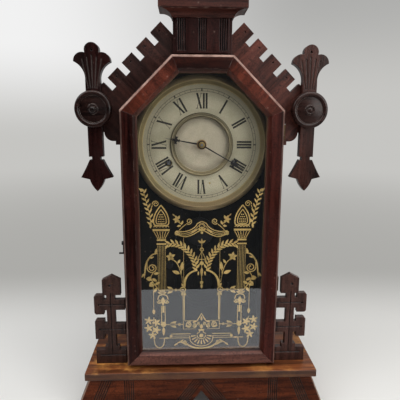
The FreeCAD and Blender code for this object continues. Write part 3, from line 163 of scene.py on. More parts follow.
def put_out(tree, values):
    """Ends a group."""
    fill(tree, tree.nodes.new("NodeGroupOutput"), values)
    print("group", tree.name, "puts out", ", ".join(values))


def use_group(tree, group, values=None):
    return add(tree, "ShaderNodeGroup", values, node_tree=group)


def new_material(name, **plain):
    """A material with one Principled shader, whose plain values are given by socket name."""
    material = bpy.data.materials.new(name)
    material.use_nodes = True
    shader = material.node_tree.nodes["Principled BSDF"]
    fill(material.node_tree, shader, {key.replace("_", " "): value for key, value in plain.items()})
    return material, material.node_tree, shader


def relief(tree, strength, distance, height, normal=None):
    """The normal of a surface with a fine relief."""
    values = {"Strength": strength, "Distance": distance, "Height": height}
    if normal:
        values["Normal"] = normal
    return add(tree, "ShaderNodeBump", values)[0]


print("group and material helpers ready")

# %% [markdown]
# ## Wood grain
# Walnut shows long streaks along the board, fine dark pores, and broad light and dark clouds. All three are
# noise that is stretched along the board. The boards run different ways, so the group turns the pattern
# about the front-to-back axis before it stretches it, or swaps height and depth, and one group serves every
# board.

# %% Board grain group
STRETCH, BEND = (1.0, 1.0, 0.06), (0.008, 0.008, 0.0)
grain, given = new_group("board_grain", {"Turn": 0.0, "Mirror": 0.0, "Depthwise": 0.0, "Fineness": 1.0},
                         ["Streaks", "Pores", "Clouds"])
x, y, z = split(grain, object_place(grain))
side = add(grain, "ShaderNodeMix", {0: given["Mirror"], 2: x, 3: absolute(grain, x)})[0]
across = add(grain, "ShaderNodeMix", {0: given["Depthwise"], 2: y, 3: z})[0]
lengthwise = add(grain, "ShaderNodeMix", {0: given["Depthwise"], 2: z, 3: y})[0]
spot = add(grain, "ShaderNodeCombineXYZ", {0: side, 1: across, 2: lengthwise})[0]
turned = add(grain, "ShaderNodeVectorRotate", {"Vector": spot, "Angle": given["Turn"]},
             rotation_type="Y_AXIS")[0]
stretched = vector_math(grain, "MULTIPLY", turned, STRETCH)["Vector"]
wander = noise(grain, turned, 9.0)["Color"]
bent = vector_math(grain, "MULTIPLY_ADD", wander, BEND, stretched)["Vector"]
scaled = vector_math(grain, "MULTIPLY", bent, given["Fineness"])["Vector"]
put_out(grain, {"Streaks": ramp(grain, noise(grain, scaled, 210.0, 4.0, 0.6)[0], 0.33, 0.67),
                "Pores": ramp(grain, noise(grain, scaled, 900.0)[0], 0.56, 0.72),
                "Clouds": ramp(grain, noise(grain, scaled, 38.0, 3.0)[0], 0.32, 0.68)})

# %% [markdown]
# ## Worn edges
# Varnish rubs off the edges of old wood first, and the edges themselves are never quite sharp. The Bevel
# node gives the normal that a slightly rounded edge would have. Where it differs from the flat face's
# normal there is an edge, which makes a wear mask, and the rounded normal itself catches the light as a
# real edge does.

# %% Edge wear group
wear, given = new_group("edge_wear", {"Width": 0.0012, "Break up": 0.5}, ["Wear"], ["Normal"])
soft_normal = add(wear, "ShaderNodeBevel", {"Radius": given["Width"]}, samples=6)[0]
true_normal = add(wear, "ShaderNodeNewGeometry")["True Normal"]
likeness = vector_math(wear, "DOT_PRODUCT", soft_normal, true_normal)["Value"]
rubs = noise(wear, object_place(wear), 95.0, 4.0)[0]
broken = times(wear, ramp(wear, likeness, 0.995, 0.86), ramp(wear, rubs, given["Break up"], 0.72))
put_out(wear, {"Wear": broken, "Normal": soft_normal})

# %% [markdown]
# ## Age spots
# Brass tarnishes in clouds, paper yellows, and dust lies in patches. All of them are the same thing at
# different sizes: a soft cloud, a finer speckle and a few sharp spots, so one group gives all three as
# masks.

# %% Age group
age, given = new_group("age_spots", {"Size": 30.0, "Speckle size": 400.0}, ["Clouds", "Speckle", "Spots"])
place = object_place(age)
cloud = noise(age, place, given["Size"], 5.0, 0.6)[0]
speckle = noise(age, place, given["Speckle size"], 3.0)[0]
nearest = add(age, "ShaderNodeTexVoronoi", {"Vector": place, "Scale": given["Size"]})["Distance"]
put_out(age, {"Clouds": ramp(age, cloud, 0.35, 0.68), "Speckle": ramp(age, speckle, 0.4, 0.66),
              "Spots": ramp(age, nearest, 0.16, 0.04)})


def aged(tree, size, speckle_size):
    return use_group(tree, age, {"Size": size, "Speckle size": speckle_size})


# %% [markdown]
# ## Where on the clock a point lies
# Some finishes depend on the place. The case and the door are octagons with cut upper corners, so one group
# measures how far a point lies outside such an outline, apart for the upper edges, the sides and the
# bottom. The outlines are read from the CAD pieces. A second group finds incised lines: points that look
# forward but lie a little behind a board's front face.


# %% Outline distance group
def front_of(node):
    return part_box(node)[0][1]


def outline_of(head, side):
    """The octagon that a level top piece and an upright side piece belong to."""
    corner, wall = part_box(head)[1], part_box(side)
    return {"Half width": wall[1][0], "Slope sum": corner[0] + corner[2],
            "Top": corner[2], "Bottom": wall[0][2]}


octagon, given = new_group("outline_distance", outline_of("door_top_rail", "door_right_stile"),
                           ["Upper", "Side", "Lower", "Depth"])
x, y, z = split(octagon, object_place(octagon))
across = absolute(octagon, x)
past_slope = minus(octagon, plus(octagon, across, z), given["Slope sum"])
sloped = times(octagon, past_slope, math.sqrt(0.5))
put_out(octagon, {"Upper": larger(octagon, sloped, minus(octagon, z, given["Top"])),
                  "Side": minus(octagon, across, given["Half width"]),
                  "Lower": minus(octagon, given["Bottom"], z), "Depth": y})

# %% Incised lines group
FORWARD, SUNK = -0.2, (0.00012, 0.0006)
incised, given = new_group("incised_lines", {"Front": -0.035, "Depth": 0.0017}, ["Lines"])
behind = minus(incised, split(incised, object_place(incised))[1], given["Front"])
true_normal = add(incised, "ShaderNodeNewGeometry")["True Normal"]
facing = add(incised, "ShaderNodeVectorTransform", {0: true_normal},
             vector_type="NORMAL", convert_from="WORLD", convert_to="OBJECT")[0]
forward = below(incised, split(incised, facing)[1], FORWARD)
sunk = times(incised, ramp(incised, behind, *SUNK), below(incised, behind, given["Depth"]))
put_out(incised, {"Lines": times(incised, sunk, forward)})

# %% [markdown]
# ## Marks of use, painted light and painted shade on the case
# The door's outer chamfer is painted pale, partly as wear and mostly as a painted highlight, strongest on
# the upper edges where the light falls. The bevel round the pane gets a painted tone: a highlight on most
# door boards and shade on the foot rail. The inside of the case is painted nearly black as painted shade,
# and the splayed ends of the base have a pale strip. Each belongs to several boards, so each is a group
# that puts out masks and leaves the tones to the boards.

# %% Door rim group
# The rim mask places a painted highlight on the door's outer chamfer, strongest on the upper edges where the
# light falls and broken by patches. The bevel mask places the painted tone of the bevel round the pane.
UPPER_EDGE, SIDE_EDGE, BEVEL_EDGE = (-0.0029, -0.0021), (-0.0024, -0.0017), (-0.0167, -0.0173)
CHAMFER_DEPTH, SIDE_SHARE = 0.0028, 0.34
door_rim_light_and_shade = new_group("door_rim_light_and_shade", {}, ["Rim highlight", "Bevel"])[0]
edge = use_group(door_rim_light_and_shade, octagon)
sides = times(door_rim_light_and_shade, ramp(door_rim_light_and_shade, edge["Side"], *SIDE_EDGE), SIDE_SHARE)
chamfer = larger(door_rim_light_and_shade, ramp(door_rim_light_and_shade, edge["Upper"], *UPPER_EDGE), sides)
chamfer_back = front_of("door_top_rail") + CHAMFER_DEPTH
chamfer = times(door_rim_light_and_shade, chamfer, below(door_rim_light_and_shade, edge["Depth"], chamfer_back))
patches = times_plus(door_rim_light_and_shade, aged(door_rim_light_and_shade, 60.0, 420.0)["Clouds"], 0.5, 0.32)
outermost = larger(door_rim_light_and_shade, larger(door_rim_light_and_shade, edge["Upper"], edge["Side"]), edge["Lower"])
put_out(door_rim_light_and_shade, {"Rim highlight": times(door_rim_light_and_shade, chamfer, patches), "Bevel": ramp(door_rim_light_and_shade, outermost, *BEVEL_EDGE)})

# %% Case inside group
# A mask for painted shade: the inside of the case, behind the door and in front of the back board.
WALL, FRONT_EDGE, BACK_SKIN = 0.0082, 0.0003, 0.0015
case_inside_shade = new_group("case_inside_shade", {}, ["Inside"])[0]
edge = use_group(case_inside_shade, octagon, outline_of("case_top", "case_right_side"))
within = below(case_inside_shade, larger(case_inside_shade, edge["Upper"], edge["Side"]), -WALL)
behind_door = below(case_inside_shade, front_of("case_top") + FRONT_EDGE, edge["Depth"])
before_back = below(case_inside_shade, edge["Depth"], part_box("back_board")[1][1] - BACK_SKIN)
put_out(case_inside_shade, {"Inside": times(case_inside_shade, times(case_inside_shade, within, behind_door), before_back)})

# %% Base end group
SPLAY, STRIP_DEPTH = -0.41, 0.0125
shelf_front, foot_half_width = front_of("shelf_board"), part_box("base_front")[1][0]
base_end = new_group("base_end", {}, ["Strip"])[0]
x, y, z = split(base_end, object_place(base_end))
inward = minus(base_end, times_plus(base_end, z, SPLAY, foot_half_width), absolute(base_end, x))
patches = times_plus(base_end, aged(base_end, 45.0, 400.0)["Clouds"], -0.5, 0.85)
strip = times(base_end, ramp(base_end, inward, 0.0019, 0.0011), patches)
put_out(base_end, {"Strip": times(base_end, strip, below(base_end, y, shelf_front + STRIP_DEPTH))})

# %% [markdown]
# ## Walnut finishes
# Every board is the same dark varnished walnut, but the boards run different ways and have aged
# differently: the door is red-brown, the fretted ornaments are nearly black, and the shelf is worn to bare
# orange-brown wood. The right-hand ornaments get lighter tones than the left ones as painted light. One
# function makes them all from a dark tone, a light tone and the way the grain runs.
# What only some boards have, such as dark incised lines, the painted highlight on the door's rim and the
# painted shade inside the case, is a layer: a small function that changes the colour so far.

# %% Layers
UPRIGHT, LEVEL = {"Turn": 0.0}, {"Turn": math.pi / 2}
SLOPE, DEPTHWISE = {"Turn": -math.pi / 4, "Mirror": 1.0}, {"Depthwise": 1.0}


def layer(group, mask, tone, share=1.0, **values):
    """A tone over the colour so far, where a group's mask lies."""
    def paint(tree, colour):
        return blend_colour(tree, times(tree, use_group(tree, group, values)[mask], share), colour, tone)
    return paint


def lines(node, depth=0.0024, tone=(0.0045, 0.0042, 0.0052)):
    """Incised lines in the front face of a board."""
    return layer(incised, "Lines", tone, 0.92, Front=front_of(node), Depth=depth)


# The bevel tone is a painted highlight on the door's head, stiles and slopes, and painted shade on the foot
# rail. The rim tone is a painted highlight.
def door_layers(bevel=(0.085, 0.030, 0.022), share=0.55):
    return [layer(door_rim_light_and_shade, "Bevel", bevel, share), layer(door_rim_light_and_shade, "Rim highlight", (0.46, 0.30, 0.25))]


# Painted shade inside the case: near-black tones on the case boards, the shelf and the pine back.
unlit = layer(case_inside_shade, "Inside", (0.026, 0.0145, 0.0085))
inside_shade_on_pine = layer(case_inside_shade, "Inside", (0.0120, 0.0092, 0.0068))
pale_end = layer(base_end, "Strip", (0.46, 0.34, 0.27))


def worn(tree, colour):
    """Golden bare wood in patches on the shelf, most of all near its left end, and a darker front face."""
    spots, edge = aged(tree, 24.0, 150.0), use_group(tree, octagon)
    board = use_group(tree, grain, {**LEVEL, "Fineness": 0.6})
    ruddy = ramp(tree, board["Streaks"], 0.05, 0.95, 0.15, 0.85)
    colour = blend_colour(tree, ruddy, colour, (0.225, 0.066, 0.020))
    x = split(tree, object_place(tree))[0]
    leftward = ramp(tree, x, -0.10, 0.12, 1.0, 0.55)
    ends = times(tree, ramp(tree, edge["Side"], -0.050, 0.004, 0.22, 1.0), leftward)
    broken = times_plus(tree, spots["Speckle"], -0.45, 0.95)
    patch = times_plus(tree, spots["Clouds"], 0.72, times(tree, board["Streaks"], 0.28))
    bare = times(tree, times(tree, ends, broken), ramp(tree, patch, 0.30, 0.85))
    colour = blend_colour(tree, bare, colour, (0.54, 0.245, 0.062))
    streak = times(tree, ramp(tree, board["Clouds"], 0.50, 0.15), 0.38)
    colour = blend_colour(tree, streak, colour, (0.016, 0.0060, 0.0036))
    front = times(tree, below(tree, edge["Depth"], shelf_front + 0.0006), 0.72)
    return blend_colour(tree, front, colour, (0.046, 0.027, 0.021))


print("layers ready")


# %% Walnut
def walnut(name, dark, light, rubbed, way, layers=(), shine=0.27, gloss=0.26, wear_share=0.45, break_up=0.5):
    """A varnished board: grain, pores, crazing, rubbed edges, then its layers and a few nicks."""
    material, tree, shader = new_material(name, IOR=1.48, Specular_IOR_Level=gloss)
    board = use_group(tree, grain, way)
    rub = use_group(tree, wear, {"Width": 0.0011, "Break up": break_up})
    spots, nicks = aged(tree, 26.0, 620.0), aged(tree, 105.0, 900.0)
    tone = times_plus(tree, board["Clouds"], 0.55, times(tree, board["Streaks"], 0.45))
    colour = blend_colour(tree, tone, dark, light)
    colour = blend_colour(tree, times(tree, board["Pores"], 0.55), colour, [v * 0.35 for v in dark])
    crazed = times(tree, spots["Speckle"], times_plus(tree, nicks["Clouds"], 0.45, 0.2))
    colour = blend_colour(tree, crazed, colour, [v * 0.3 for v in dark])
    colour = blend_colour(tree, times(tree, rub["Wear"], wear_share), colour, rubbed)
    for paint in layers:
        colour = paint(tree, colour)
    nicked = times(tree, nicks["Spots"], times(tree, spots["Clouds"], 0.30))
    rough = times_plus(tree, board["Streaks"], 0.08, shine)
    height = times_plus(tree, board["Pores"], -0.6, board["Streaks"])
    fill(tree, shader, {"Base Color": blend_colour(tree, nicked, colour, rubbed),
                        "Roughness": times_plus(tree, spots["Clouds"], 0.12, rough),
                        "Normal": relief(tree, 0.2, 0.0003, height, rub["Normal"])})
    return material


RUBBED = (0.36, 0.24, 0.20)
wood = {}


def board(name, dark, light, rubbed, way, **options):
    wood[name] = walnut("walnut_" + name, dark, light, rubbed, way, **options)


print("walnut ready")

# %% Boards of the door and the case
DOOR_DARK, CASE_DARK, CASE_LIGHT = (0.0056, 0.0010, 0.0009), (0.0034, 0.0015, 0.0016), (0.058, 0.0110, 0.0080)
board("door_upright", DOOR_DARK, (0.070, 0.0130, 0.0085), RUBBED, UPRIGHT, gloss=0.18, layers=door_layers())
# The foot rail's bevel round the pane is painted shade.
board("door_foot", (0.030, 0.0095, 0.0072), (0.185, 0.068, 0.049), RUBBED, LEVEL,
      layers=door_layers((0.012, 0.0034, 0.0028), 0.85))
board("door_head", DOOR_DARK, (0.060, 0.0115, 0.0052), RUBBED, LEVEL, layers=door_layers())
board("door_slope", (0.014, 0.0030, 0.0022), (0.125, 0.026, 0.013), RUBBED, SLOPE, layers=door_layers())
for name, way in (("case_upright", UPRIGHT), ("case_slope", SLOPE), ("case_level", LEVEL)):
    board(name, CASE_DARK, CASE_LIGHT, RUBBED, way, layers=[unlit])
print("door and case boards", len(wood))

# %% Boards of the ornaments
FRET_RUBBED = (0.17, 0.115, 0.10)
wing = {"shine": 0.30, "gloss": 0.34, "layers": [lines("left_wing")]}
bracket = {"shine": 0.30, "gloss": 0.34, "layers": [lines("left_bracket")]}
drop = {"shine": 0.22, "layers": [lines("left_drop", 0.0011, (0.060, 0.045, 0.040))]}
# The right-hand wing, drop and bracket get lighter tones than the left ones. This is painted light, as the
# light falls more from the right.
board("left_wing", (0.0060, 0.0022, 0.0022), (0.060, 0.0185, 0.0130), FRET_RUBBED, SLOPE, **wing)
board("right_wing", (0.0110, 0.0038, 0.0032), (0.145, 0.041, 0.028), FRET_RUBBED, SLOPE, **wing)
board("left_drop", (0.0022, 0.0007, 0.0007), (0.026, 0.0060, 0.0050), FRET_RUBBED, UPRIGHT,
      gloss=0.24, **drop)
board("right_drop", (0.0040, 0.0014, 0.0013), (0.082, 0.0285, 0.0210), FRET_RUBBED, UPRIGHT,
      gloss=0.28, **drop)
board("left_bracket", CASE_DARK, (0.062, 0.025, 0.018), FRET_RUBBED, UPRIGHT, **bracket)
board("right_bracket", (0.0075, 0.0032, 0.0030), (0.100, 0.038, 0.028), FRET_RUBBED, UPRIGHT, **bracket)
board("turned", (0.0030, 0.0014, 0.0014), (0.038, 0.0150, 0.0115), (0.23, 0.185, 0.165), LEVEL,
      shine=0.20, gloss=0.30, wear_share=0.75, break_up=0.3)
print("with ornaments", len(wood))

# %% Boards of the base, the shelf and the crown
board("base", (0.018, 0.0032, 0.0013), (0.190, 0.0400, 0.0105), (0.135, 0.098, 0.080), LEVEL, gloss=0.14,
      wear_share=0.85, break_up=0.25, layers=[lines("base_front", tone=(0.012, 0.0105, 0.0100)), pale_end])
board("base_end", (0.016, 0.0034, 0.0018), (0.120, 0.0300, 0.0110), (0.42, 0.28, 0.20), DEPTHWISE,
      layers=[pale_end])
board("shelf", (0.022, 0.0075, 0.0042), (0.105, 0.034, 0.0125), (0.36, 0.20, 0.09), LEVEL, shine=0.36,
      layers=[worn, unlit])
board("neck", (0.0090, 0.0024, 0.0026), (0.046, 0.0110, 0.0085), RUBBED, UPRIGHT, wear_share=0.2,
      layers=[lines("neck_block")])
board("crown", (0.014, 0.0038, 0.0034), (0.110, 0.0290, 0.0190), RUBBED, LEVEL, shine=0.40)
pine = walnut("stained_pine", (0.080, 0.044, 0.022), (0.24, 0.135, 0.066), (0.36, 0.24, 0.14), UPRIGHT,
              shine=0.55, layers=[inside_shade_on_pine])
print("walnut finishes", len(wood), "and pine")

# %% [markdown]
# ## Metals, and the dial's staining and painted light
# The dial rim and the movement are brass, dulled by a century of air, and the hands and the latch are
# blackened steel. Real metal shaders would mirror a whole room, so the dull ones are only partly metallic.
# The dial's rings are pressed sheet, given painted highlights on their crests and lower parts and darker
# tones in their grooves, and the right side of the dial gets painted shade, as the door's right side shades
# it. So a group measures how far a point lies from the dial's middle, and to the right of it and below it.


# %% Dial place group
def middle_height(node):
    """The height of a piece's middle, in millimetres."""
    low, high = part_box(node)
    return round((low[2] + high[2]) / 2 / MM, 2)


dial_z = middle_height("dial_bezel")
dial_place = new_group("dial_place", {}, ["Reach", "Right", "Down"])[0]
x, y, z = split(dial_place, object_place(dial_place))
down = minus(dial_place, dial_z * MM, z)
flat = add(dial_place, "ShaderNodeCombineXYZ", {0: x, 1: 0.0, 2: down})[0]
put_out(dial_place, {"Reach": vector_math(dial_place, "LENGTH", flat)["Value"], "Right": x, "Down": down})


# These tones serve real staining and also painted highlights and painted shade on the dial.
def dial_stain_and_light(tree, colour, stains_and_light):
    """Tones that grow with a measure of the dial's place, given in millimetres from where to where."""
    for measure, start, full, share, tone in stains_and_light:
        mask = ramp(tree, use_group(tree, dial_place)[measure], start * MM, full * MM)
        colour = blend_colour(tree, times(tree, mask, share), colour, tone)
    return colour


# %% Metals
def metal(name, bright, dull, rough, metallic=1.0, wear_share=0.3, stains_and_light=()):
    """Metal that is tarnished in clouds and bright on its rubbed edges."""
    material, tree, shader = new_material(name, Metallic=metallic)
    spots = aged(tree, 40.0, 900.0)
    rub = use_group(tree, wear, {"Width": 0.0006, "Break up": 0.45})
    tarnish = times_plus(tree, spots["Clouds"], 0.75, times(tree, spots["Speckle"], 0.25))
    colour = blend_colour(tree, tarnish, bright, dull)
    colour = blend_colour(tree, times(tree, rub["Wear"], wear_share), colour, bright)
    fill(tree, shader, {"Base Color": dial_stain_and_light(tree, colour, stains_and_light),
                        "Roughness": times_plus(tree, tarnish, 0.22, rough),
                        "Normal": relief(tree, 0.08, 0.0002, spots["Speckle"], rub["Normal"])})
    return material


# The bezel's tones by reach: a painted highlight at its inner edge and from its crest outwards, darker
# between them and at its outer edge. It gets painted shade on its right side, and painted highlights on its
# lower part and its lower outer rim.
rim_brass = metal(
    "dulled_rim_brass_and_painted_light", (0.60, 0.455, 0.205), (0.35, 0.295, 0.16), 0.34, metallic=0.6,
    stains_and_light=[("Reach", 70.8, 69.9, 0.35, (0.60, 0.52, 0.34)),
            ("Reach", 70.2, 71.0, 0.70, (0.17, 0.135, 0.070)),
            ("Reach", 73.4, 74.6, 0.80, (0.62, 0.48, 0.26)),
            ("Reach", 79.6, 80.8, 0.4, (0.20, 0.15, 0.075)),
            ("Right", 10.0, 72.0, 0.6, (0.145, 0.110, 0.058)),
            ("Down", 46.0, 72.0, 0.6, (0.29, 0.20, 0.105)),
            ("Down", 73.5, 77.0, 0.9, (0.85, 0.62, 0.34))])
# The inner ring has dark lines at its edges and a painted highlight on its lower part.
ring_brass = metal(
    "darkened_ring_brass_and_painted_highlight", (0.29, 0.245, 0.150), (0.19, 0.165, 0.105), 0.38, metallic=0.6,
    stains_and_light=[("Reach", 36.3, 36.8, 0.8, (0.07, 0.056, 0.032)),
            ("Reach", 33.6, 33.1, 0.8, (0.085, 0.064, 0.032)),
            ("Down", 5.0, 34.0, 0.5, (0.42, 0.34, 0.19))])
dark_brass = metal("browned_brass", (0.11, 0.075, 0.034), (0.045, 0.032, 0.018), 0.36)
brass = metal("tarnished_brass", (0.52, 0.37, 0.13), (0.20, 0.15, 0.07), 0.30)
plate_brass = metal("plate_brass", (0.62, 0.45, 0.17), (0.34, 0.25, 0.11), 0.26)
steel = metal("dull_steel", (0.36, 0.36, 0.37), (0.15, 0.14, 0.14), 0.34)
BLUED, BLACKENED = (0.022, 0.020, 0.022), (0.011, 0.009, 0.009)
black_steel = metal("black_steel", BLUED, BLACKENED, 0.36, metallic=0.3)
hub_steel = metal("bushed_black_steel", BLUED, BLACKENED, 0.36, metallic=0.3,
                  stains_and_light=[("Reach", 6.2, 5.4, 1.0, (0.24, 0.135, 0.060))])
# Painted shade: the pendulum and the hammer are near black, so that they stay as dark as the shade inside the
# case.
inside_shade_black = metal("black_inside_shade_metal", (0.012, 0.010, 0.009), (0.006, 0.0055, 0.0055), 0.42, metallic=0.2,
                 wear_share=0.8)
iron = metal("bronzed_iron", (0.014, 0.012, 0.011), (0.008, 0.007, 0.007), 0.5, metallic=0.3)
print("metals ready")

# %% [markdown]
# ## Dial paper and dish
# The dial is a printed paper ring on a painted zinc dish. Both have yellowed unevenly. The paper is darker
# near its rims, the dish gets painted shade towards its sunk rim, and both get painted shade on their right
# side, which the door's right side shades. They are matt, so colour does the work: clouds, a few spots, and
# these tones by place on the dial.


# %% Paper and painted dish
def aged_sheet(name, pale, yellowed, spot, rough, size, stains_and_light):
    material, tree, shader = new_material(name)
    spots = aged(tree, size, 700.0)
    colour = blend_colour(tree, spots["Clouds"], pale, yellowed)
    colour = blend_colour(tree, times(tree, spots["Spots"], 0.35), colour, spot)
    colour = blend_colour(tree, times(tree, spots["Speckle"], 0.12), colour, spot)
    fill(tree, shader, {"Base Color": dial_stain_and_light(tree, colour, stains_and_light),
                        "Roughness": times_plus(tree, spots["Speckle"], 0.12, rough),
                        "Normal": relief(tree, 0.06, 0.0001, spots["Speckle"])})
    return material


# Painted shade: the paper and the dish are darker on their right side, which the door's right side shades,
# and the dish darkens towards its sunk rim.
RIM_TONE = (0.27, 0.24, 0.165)
paper = aged_sheet(
    "aged_paper", (0.535, 0.483, 0.350), (0.42, 0.387, 0.268), (0.20, 0.14, 0.07), 0.62, 34.0,
    [("Reach", 51.0, 62.0, 0.42, RIM_TONE), ("Reach", 45.0, 39.0, 0.26, RIM_TONE),
     ("Right", 15.0, 62.0, 0.40, (0.30, 0.275, 0.19))])
dish_paint = aged_sheet(
    "dish_paint", (0.59, 0.51, 0.385), (0.42, 0.385, 0.28), (0.28, 0.21, 0.13), 0.5, 30.0,
    [("Reach", 23.0, 31.5, 0.55, (0.17, 0.145, 0.100)), ("Right", -6.0, 26.0, 0.45, (0.30, 0.27, 0.20))])
print("paper and dish ready")

# %% [markdown]
# ## Glass
# The pane is old window glass: it bends almost nothing, but it mirrors the room. A true glass shader would
# keep the lamps' light from the dial behind it, so rays that only ask for shadow go straight through a
# clear one instead. A very slight ripple makes the reflection's edge as uneven as that of drawn glass.

# %% Window glass
CLEAR = (0.97, 0.98, 0.975, 1.0)
glass, tree, shader = new_material("window_glass", Transmission_Weight=1.0, Roughness=0.0, IOR=1.6,
                                   Base_Color=CLEAR)
clear = add(tree, "ShaderNodeBsdfTransparent", {0: CLEAR})[0]
shadow_ray = add(tree, "ShaderNodeLightPath")["Is Shadow Ray"]
pane = add(tree, "ShaderNodeMixShader", {0: shadow_ray, 1: shader.outputs[0], 2: clear})[0]
fill(tree, tree.nodes["Material Output"], {0: pane})
ripple = noise(tree, object_place(tree), 9.0, 0.0)[0]
fill(tree, shader, {"Normal": relief(tree, 0.02, 0.0004, ripple)})
print("glass ready")

# %% [markdown]
# ## Dress the CAD pieces
# Each CAD node keeps its shape and only gets a finish in its material slots. A table of finishes and nodes
# is easy to read, and the last line shows at once if a piece was forgotten.

# %% Finishes for the nodes
fretted = ("right_wing", "left_wing", "right_drop", "left_drop", "right_bracket", "left_bracket")
finishes = [(wood[name], name) for name in fretted] + [
    (wood["base"], "base_front"), (wood["base_end"], "base_sides"), (wood["shelf"], "shelf_board"),
    (wood["case_upright"], "case_right_side case_left_side"), (wood["case_slope"], "case_slopes"),
    (wood["case_level"], "case_top"), (pine, "back_board glass_beads dial_blocks"),
    (wood["door_foot"], "door_bottom_rail"), (wood["door_head"], "door_top_rail"),
    (wood["door_upright"], "door_right_stile door_left_stile"), (wood["door_slope"], "door_diagonals"),
    (glass, "door_glass"), (wood["turned"], "rosettes"), (wood["neck"], "neck_block"),
    (wood["crown"], "cove_moulding crown_cap"), (dark_brass, "hinge_case_leaves hinge_door_leaves"),
    (black_steel, "latch_hook latch_screw catch_pin minute_hand gong_coil"), (hub_steel, "hour_hand"),
    (dish_paint, "dial_pan"), (paper, "dial_paper"), (rim_brass, "dial_bezel"),
    (ring_brass, "dial_inner_ring"), (brass, "hand_nut"), (iron, "gong_block"),
    (plate_brass, "cannon_pinion hour_wheel minute_wheel front_plate back_plate great_wheels"),
    (plate_brass, "third_wheel escape_wheel suspension_cock"),
    (steel, "hinge_pins plate_pillars pillar_nuts mainsprings strike_winding_arbor time_winding_arbor"),
    (steel, "centre_arbor verge"), (inside_shade_black, "pendulum_rod pendulum_bob hammer"),
]
dressed = set()
for finish, names in finishes:
    for name in names.split():
        dressed.add(name)
        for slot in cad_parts[name].material_slots:
            slot.material = finish
print("dressed", len(dressed), "bare", sorted(set(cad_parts) - dressed))

# %% [markdown]
# ## Thin pieces that lie on a sheet
# Ink on paper and gilt on glass are films far thinner than a hair. Here each is a flat outline in
# millimetres, set on its sheet and given a few hundredths of thickness, so that it is a real closed piece
# that any tool can read. Ribbons that taper along a smooth line draw stems, and a pointed oval draws a
# leaf.


# %% Lines and ribbons
def smooth(points, steps=6):
    """Points along a smooth line through the given points."""
    if len(points) < 3:
        return points
    ends = [points[0]] + list(points) + [points[-1]]
    made = []
    for i in range(1, len(ends) - 2):
        p0, p1, p2, p3 = (Vector(p) for p in ends[i - 1:i + 3])
        for k in range(steps):
            t = k / steps
            made.append(0.5 * (2 * p1 + (p2 - p0) * t + (2 * p0 - 5 * p1 + 4 * p2 - p3) * t * t
                               + (3 * p1 - p0 - 3 * p2 + p3) * t ** 3))
    return [tuple(p) for p in made] + [points[-1]]


def ribbon(points, start, end=None, swell=0.0):
    """A strip along a line, as quads. Its width goes from start to end, with a swelling in the middle."""
    end = start if end is None else end
    line = [Vector(p) for p in points]
    edges = []
    for i, p in enumerate(line):
        along = (line[min(i + 1, len(line) - 1)] - line[max(i - 1, 0)]).normalized()
        t = i / (len(line) - 1)
        half = (start + (end - start) * t + swell * math.sin(math.pi * t)) / 2
        sideways = Vector((-along.y, along.x)) * half
        edges.append((p + sideways, p - sideways))
    return [(a[0], b[0], b[1], a[1]) for a, b in zip(edges, edges[1:])]


def round_point(x, z, radius, degrees):
    turn = math.radians(degrees)
    return Vector((x + radius * math.cos(turn), z + radius * math.sin(turn)))


def disc(x, z, radius, count=20):
    return [[round_point(x, z, radius, 360 * i / count) for i in range(count)]]


def hoop(x, z, radius, width, first=0.0, last=360.0, count=48):
    """Part of a ring."""
    step = (last - first) / count
    return ribbon([round_point(x, z, radius, first + step * i) for i in range(count + 1)], width)


def leaf(x, z, degrees, length, width):
    """A pointed leaf from its stalk at (x, z)."""
    turn = Matrix.Rotation(math.radians(degrees), 2)
    half = [(0, 0), (0.25, 0.42), (0.5, 0.5), (0.78, 0.3), (1, 0), (0.78, -0.3), (0.5, -0.5), (0.25, -0.42)]
    return [[Vector((x, z)) + turn @ Vector((length * u, width * v)) for u, v in half]]


print("outlines ready")


# %% Films
def flat_mesh(name, faces, y, thickness):
    """A closed thin mesh from flat outlines at a level, facing the front."""
    bm = bmesh.new()
    for outline in faces:
        area = sum(a[0] * b[1] - a[1] * b[0] for a, b in zip(outline, outline[1:] + outline[:1]))
        if abs(area) < 1e-6:
            continue
        outline = outline if area > 0 else outline[::-1]
        front = [bm.verts.new((p[0] * MM, y, p[1] * MM)) for p in outline]
        back = [bm.verts.new((p[0] * MM, y + thickness, p[1] * MM)) for p in outline]
        bm.faces.new(front)
        bm.faces.new(back[::-1])
        for i in range(len(front)):
            j = (i + 1) % len(front)
            bm.faces.new((front[j], front[i], back[i], back[j]))
    mesh = bpy.data.meshes.new(name)
    bm.to_mesh(mesh)
    bm.free()
    return mesh


def mount(name, mesh, material, body):
    """A finished piece that rides on a body."""
    if not mesh.materials:
        mesh.materials.append(material)
    piece = bpy.data.objects.new(name, mesh)
    scene.collection.objects.link(piece)
    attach(piece, body)
    print(name, len(mesh.polygons), "faces")
    return piece


print("films ready")

# %% [markdown]
# ## Copies along a path
# Minute ticks, leaves on a stem, beads on a string and nails round a board are the same job: many copies of
# one small shape along a line. A Geometry Nodes tree does it once for all of them. It takes a line of
# edges, spreads points on it, puts a copy on each, turned to the line, and turns every second copy to the
# other side if a turn is given.


# %% Copies along a path, as a node tree
def new_tree(name, inputs):
    """A Geometry Nodes tree, the identifiers that its inputs are set by, and the sockets inside it."""
    tree = bpy.data.node_groups.new(name, "GeometryNodeTree")
    identifiers = {}
    for label, kind in {"Geometry": "Geometry", **inputs, "Material": "Material"}.items():
        socket = tree.interface.new_socket(label, in_out="INPUT", socket_type="NodeSocket" + kind)
        identifiers[label] = socket.identifier
    tree.interface.new_socket("Geometry", in_out="OUTPUT", socket_type="NodeSocketGeometry")
    return tree, identifiers, tree.nodes.new("NodeGroupInput").outputs


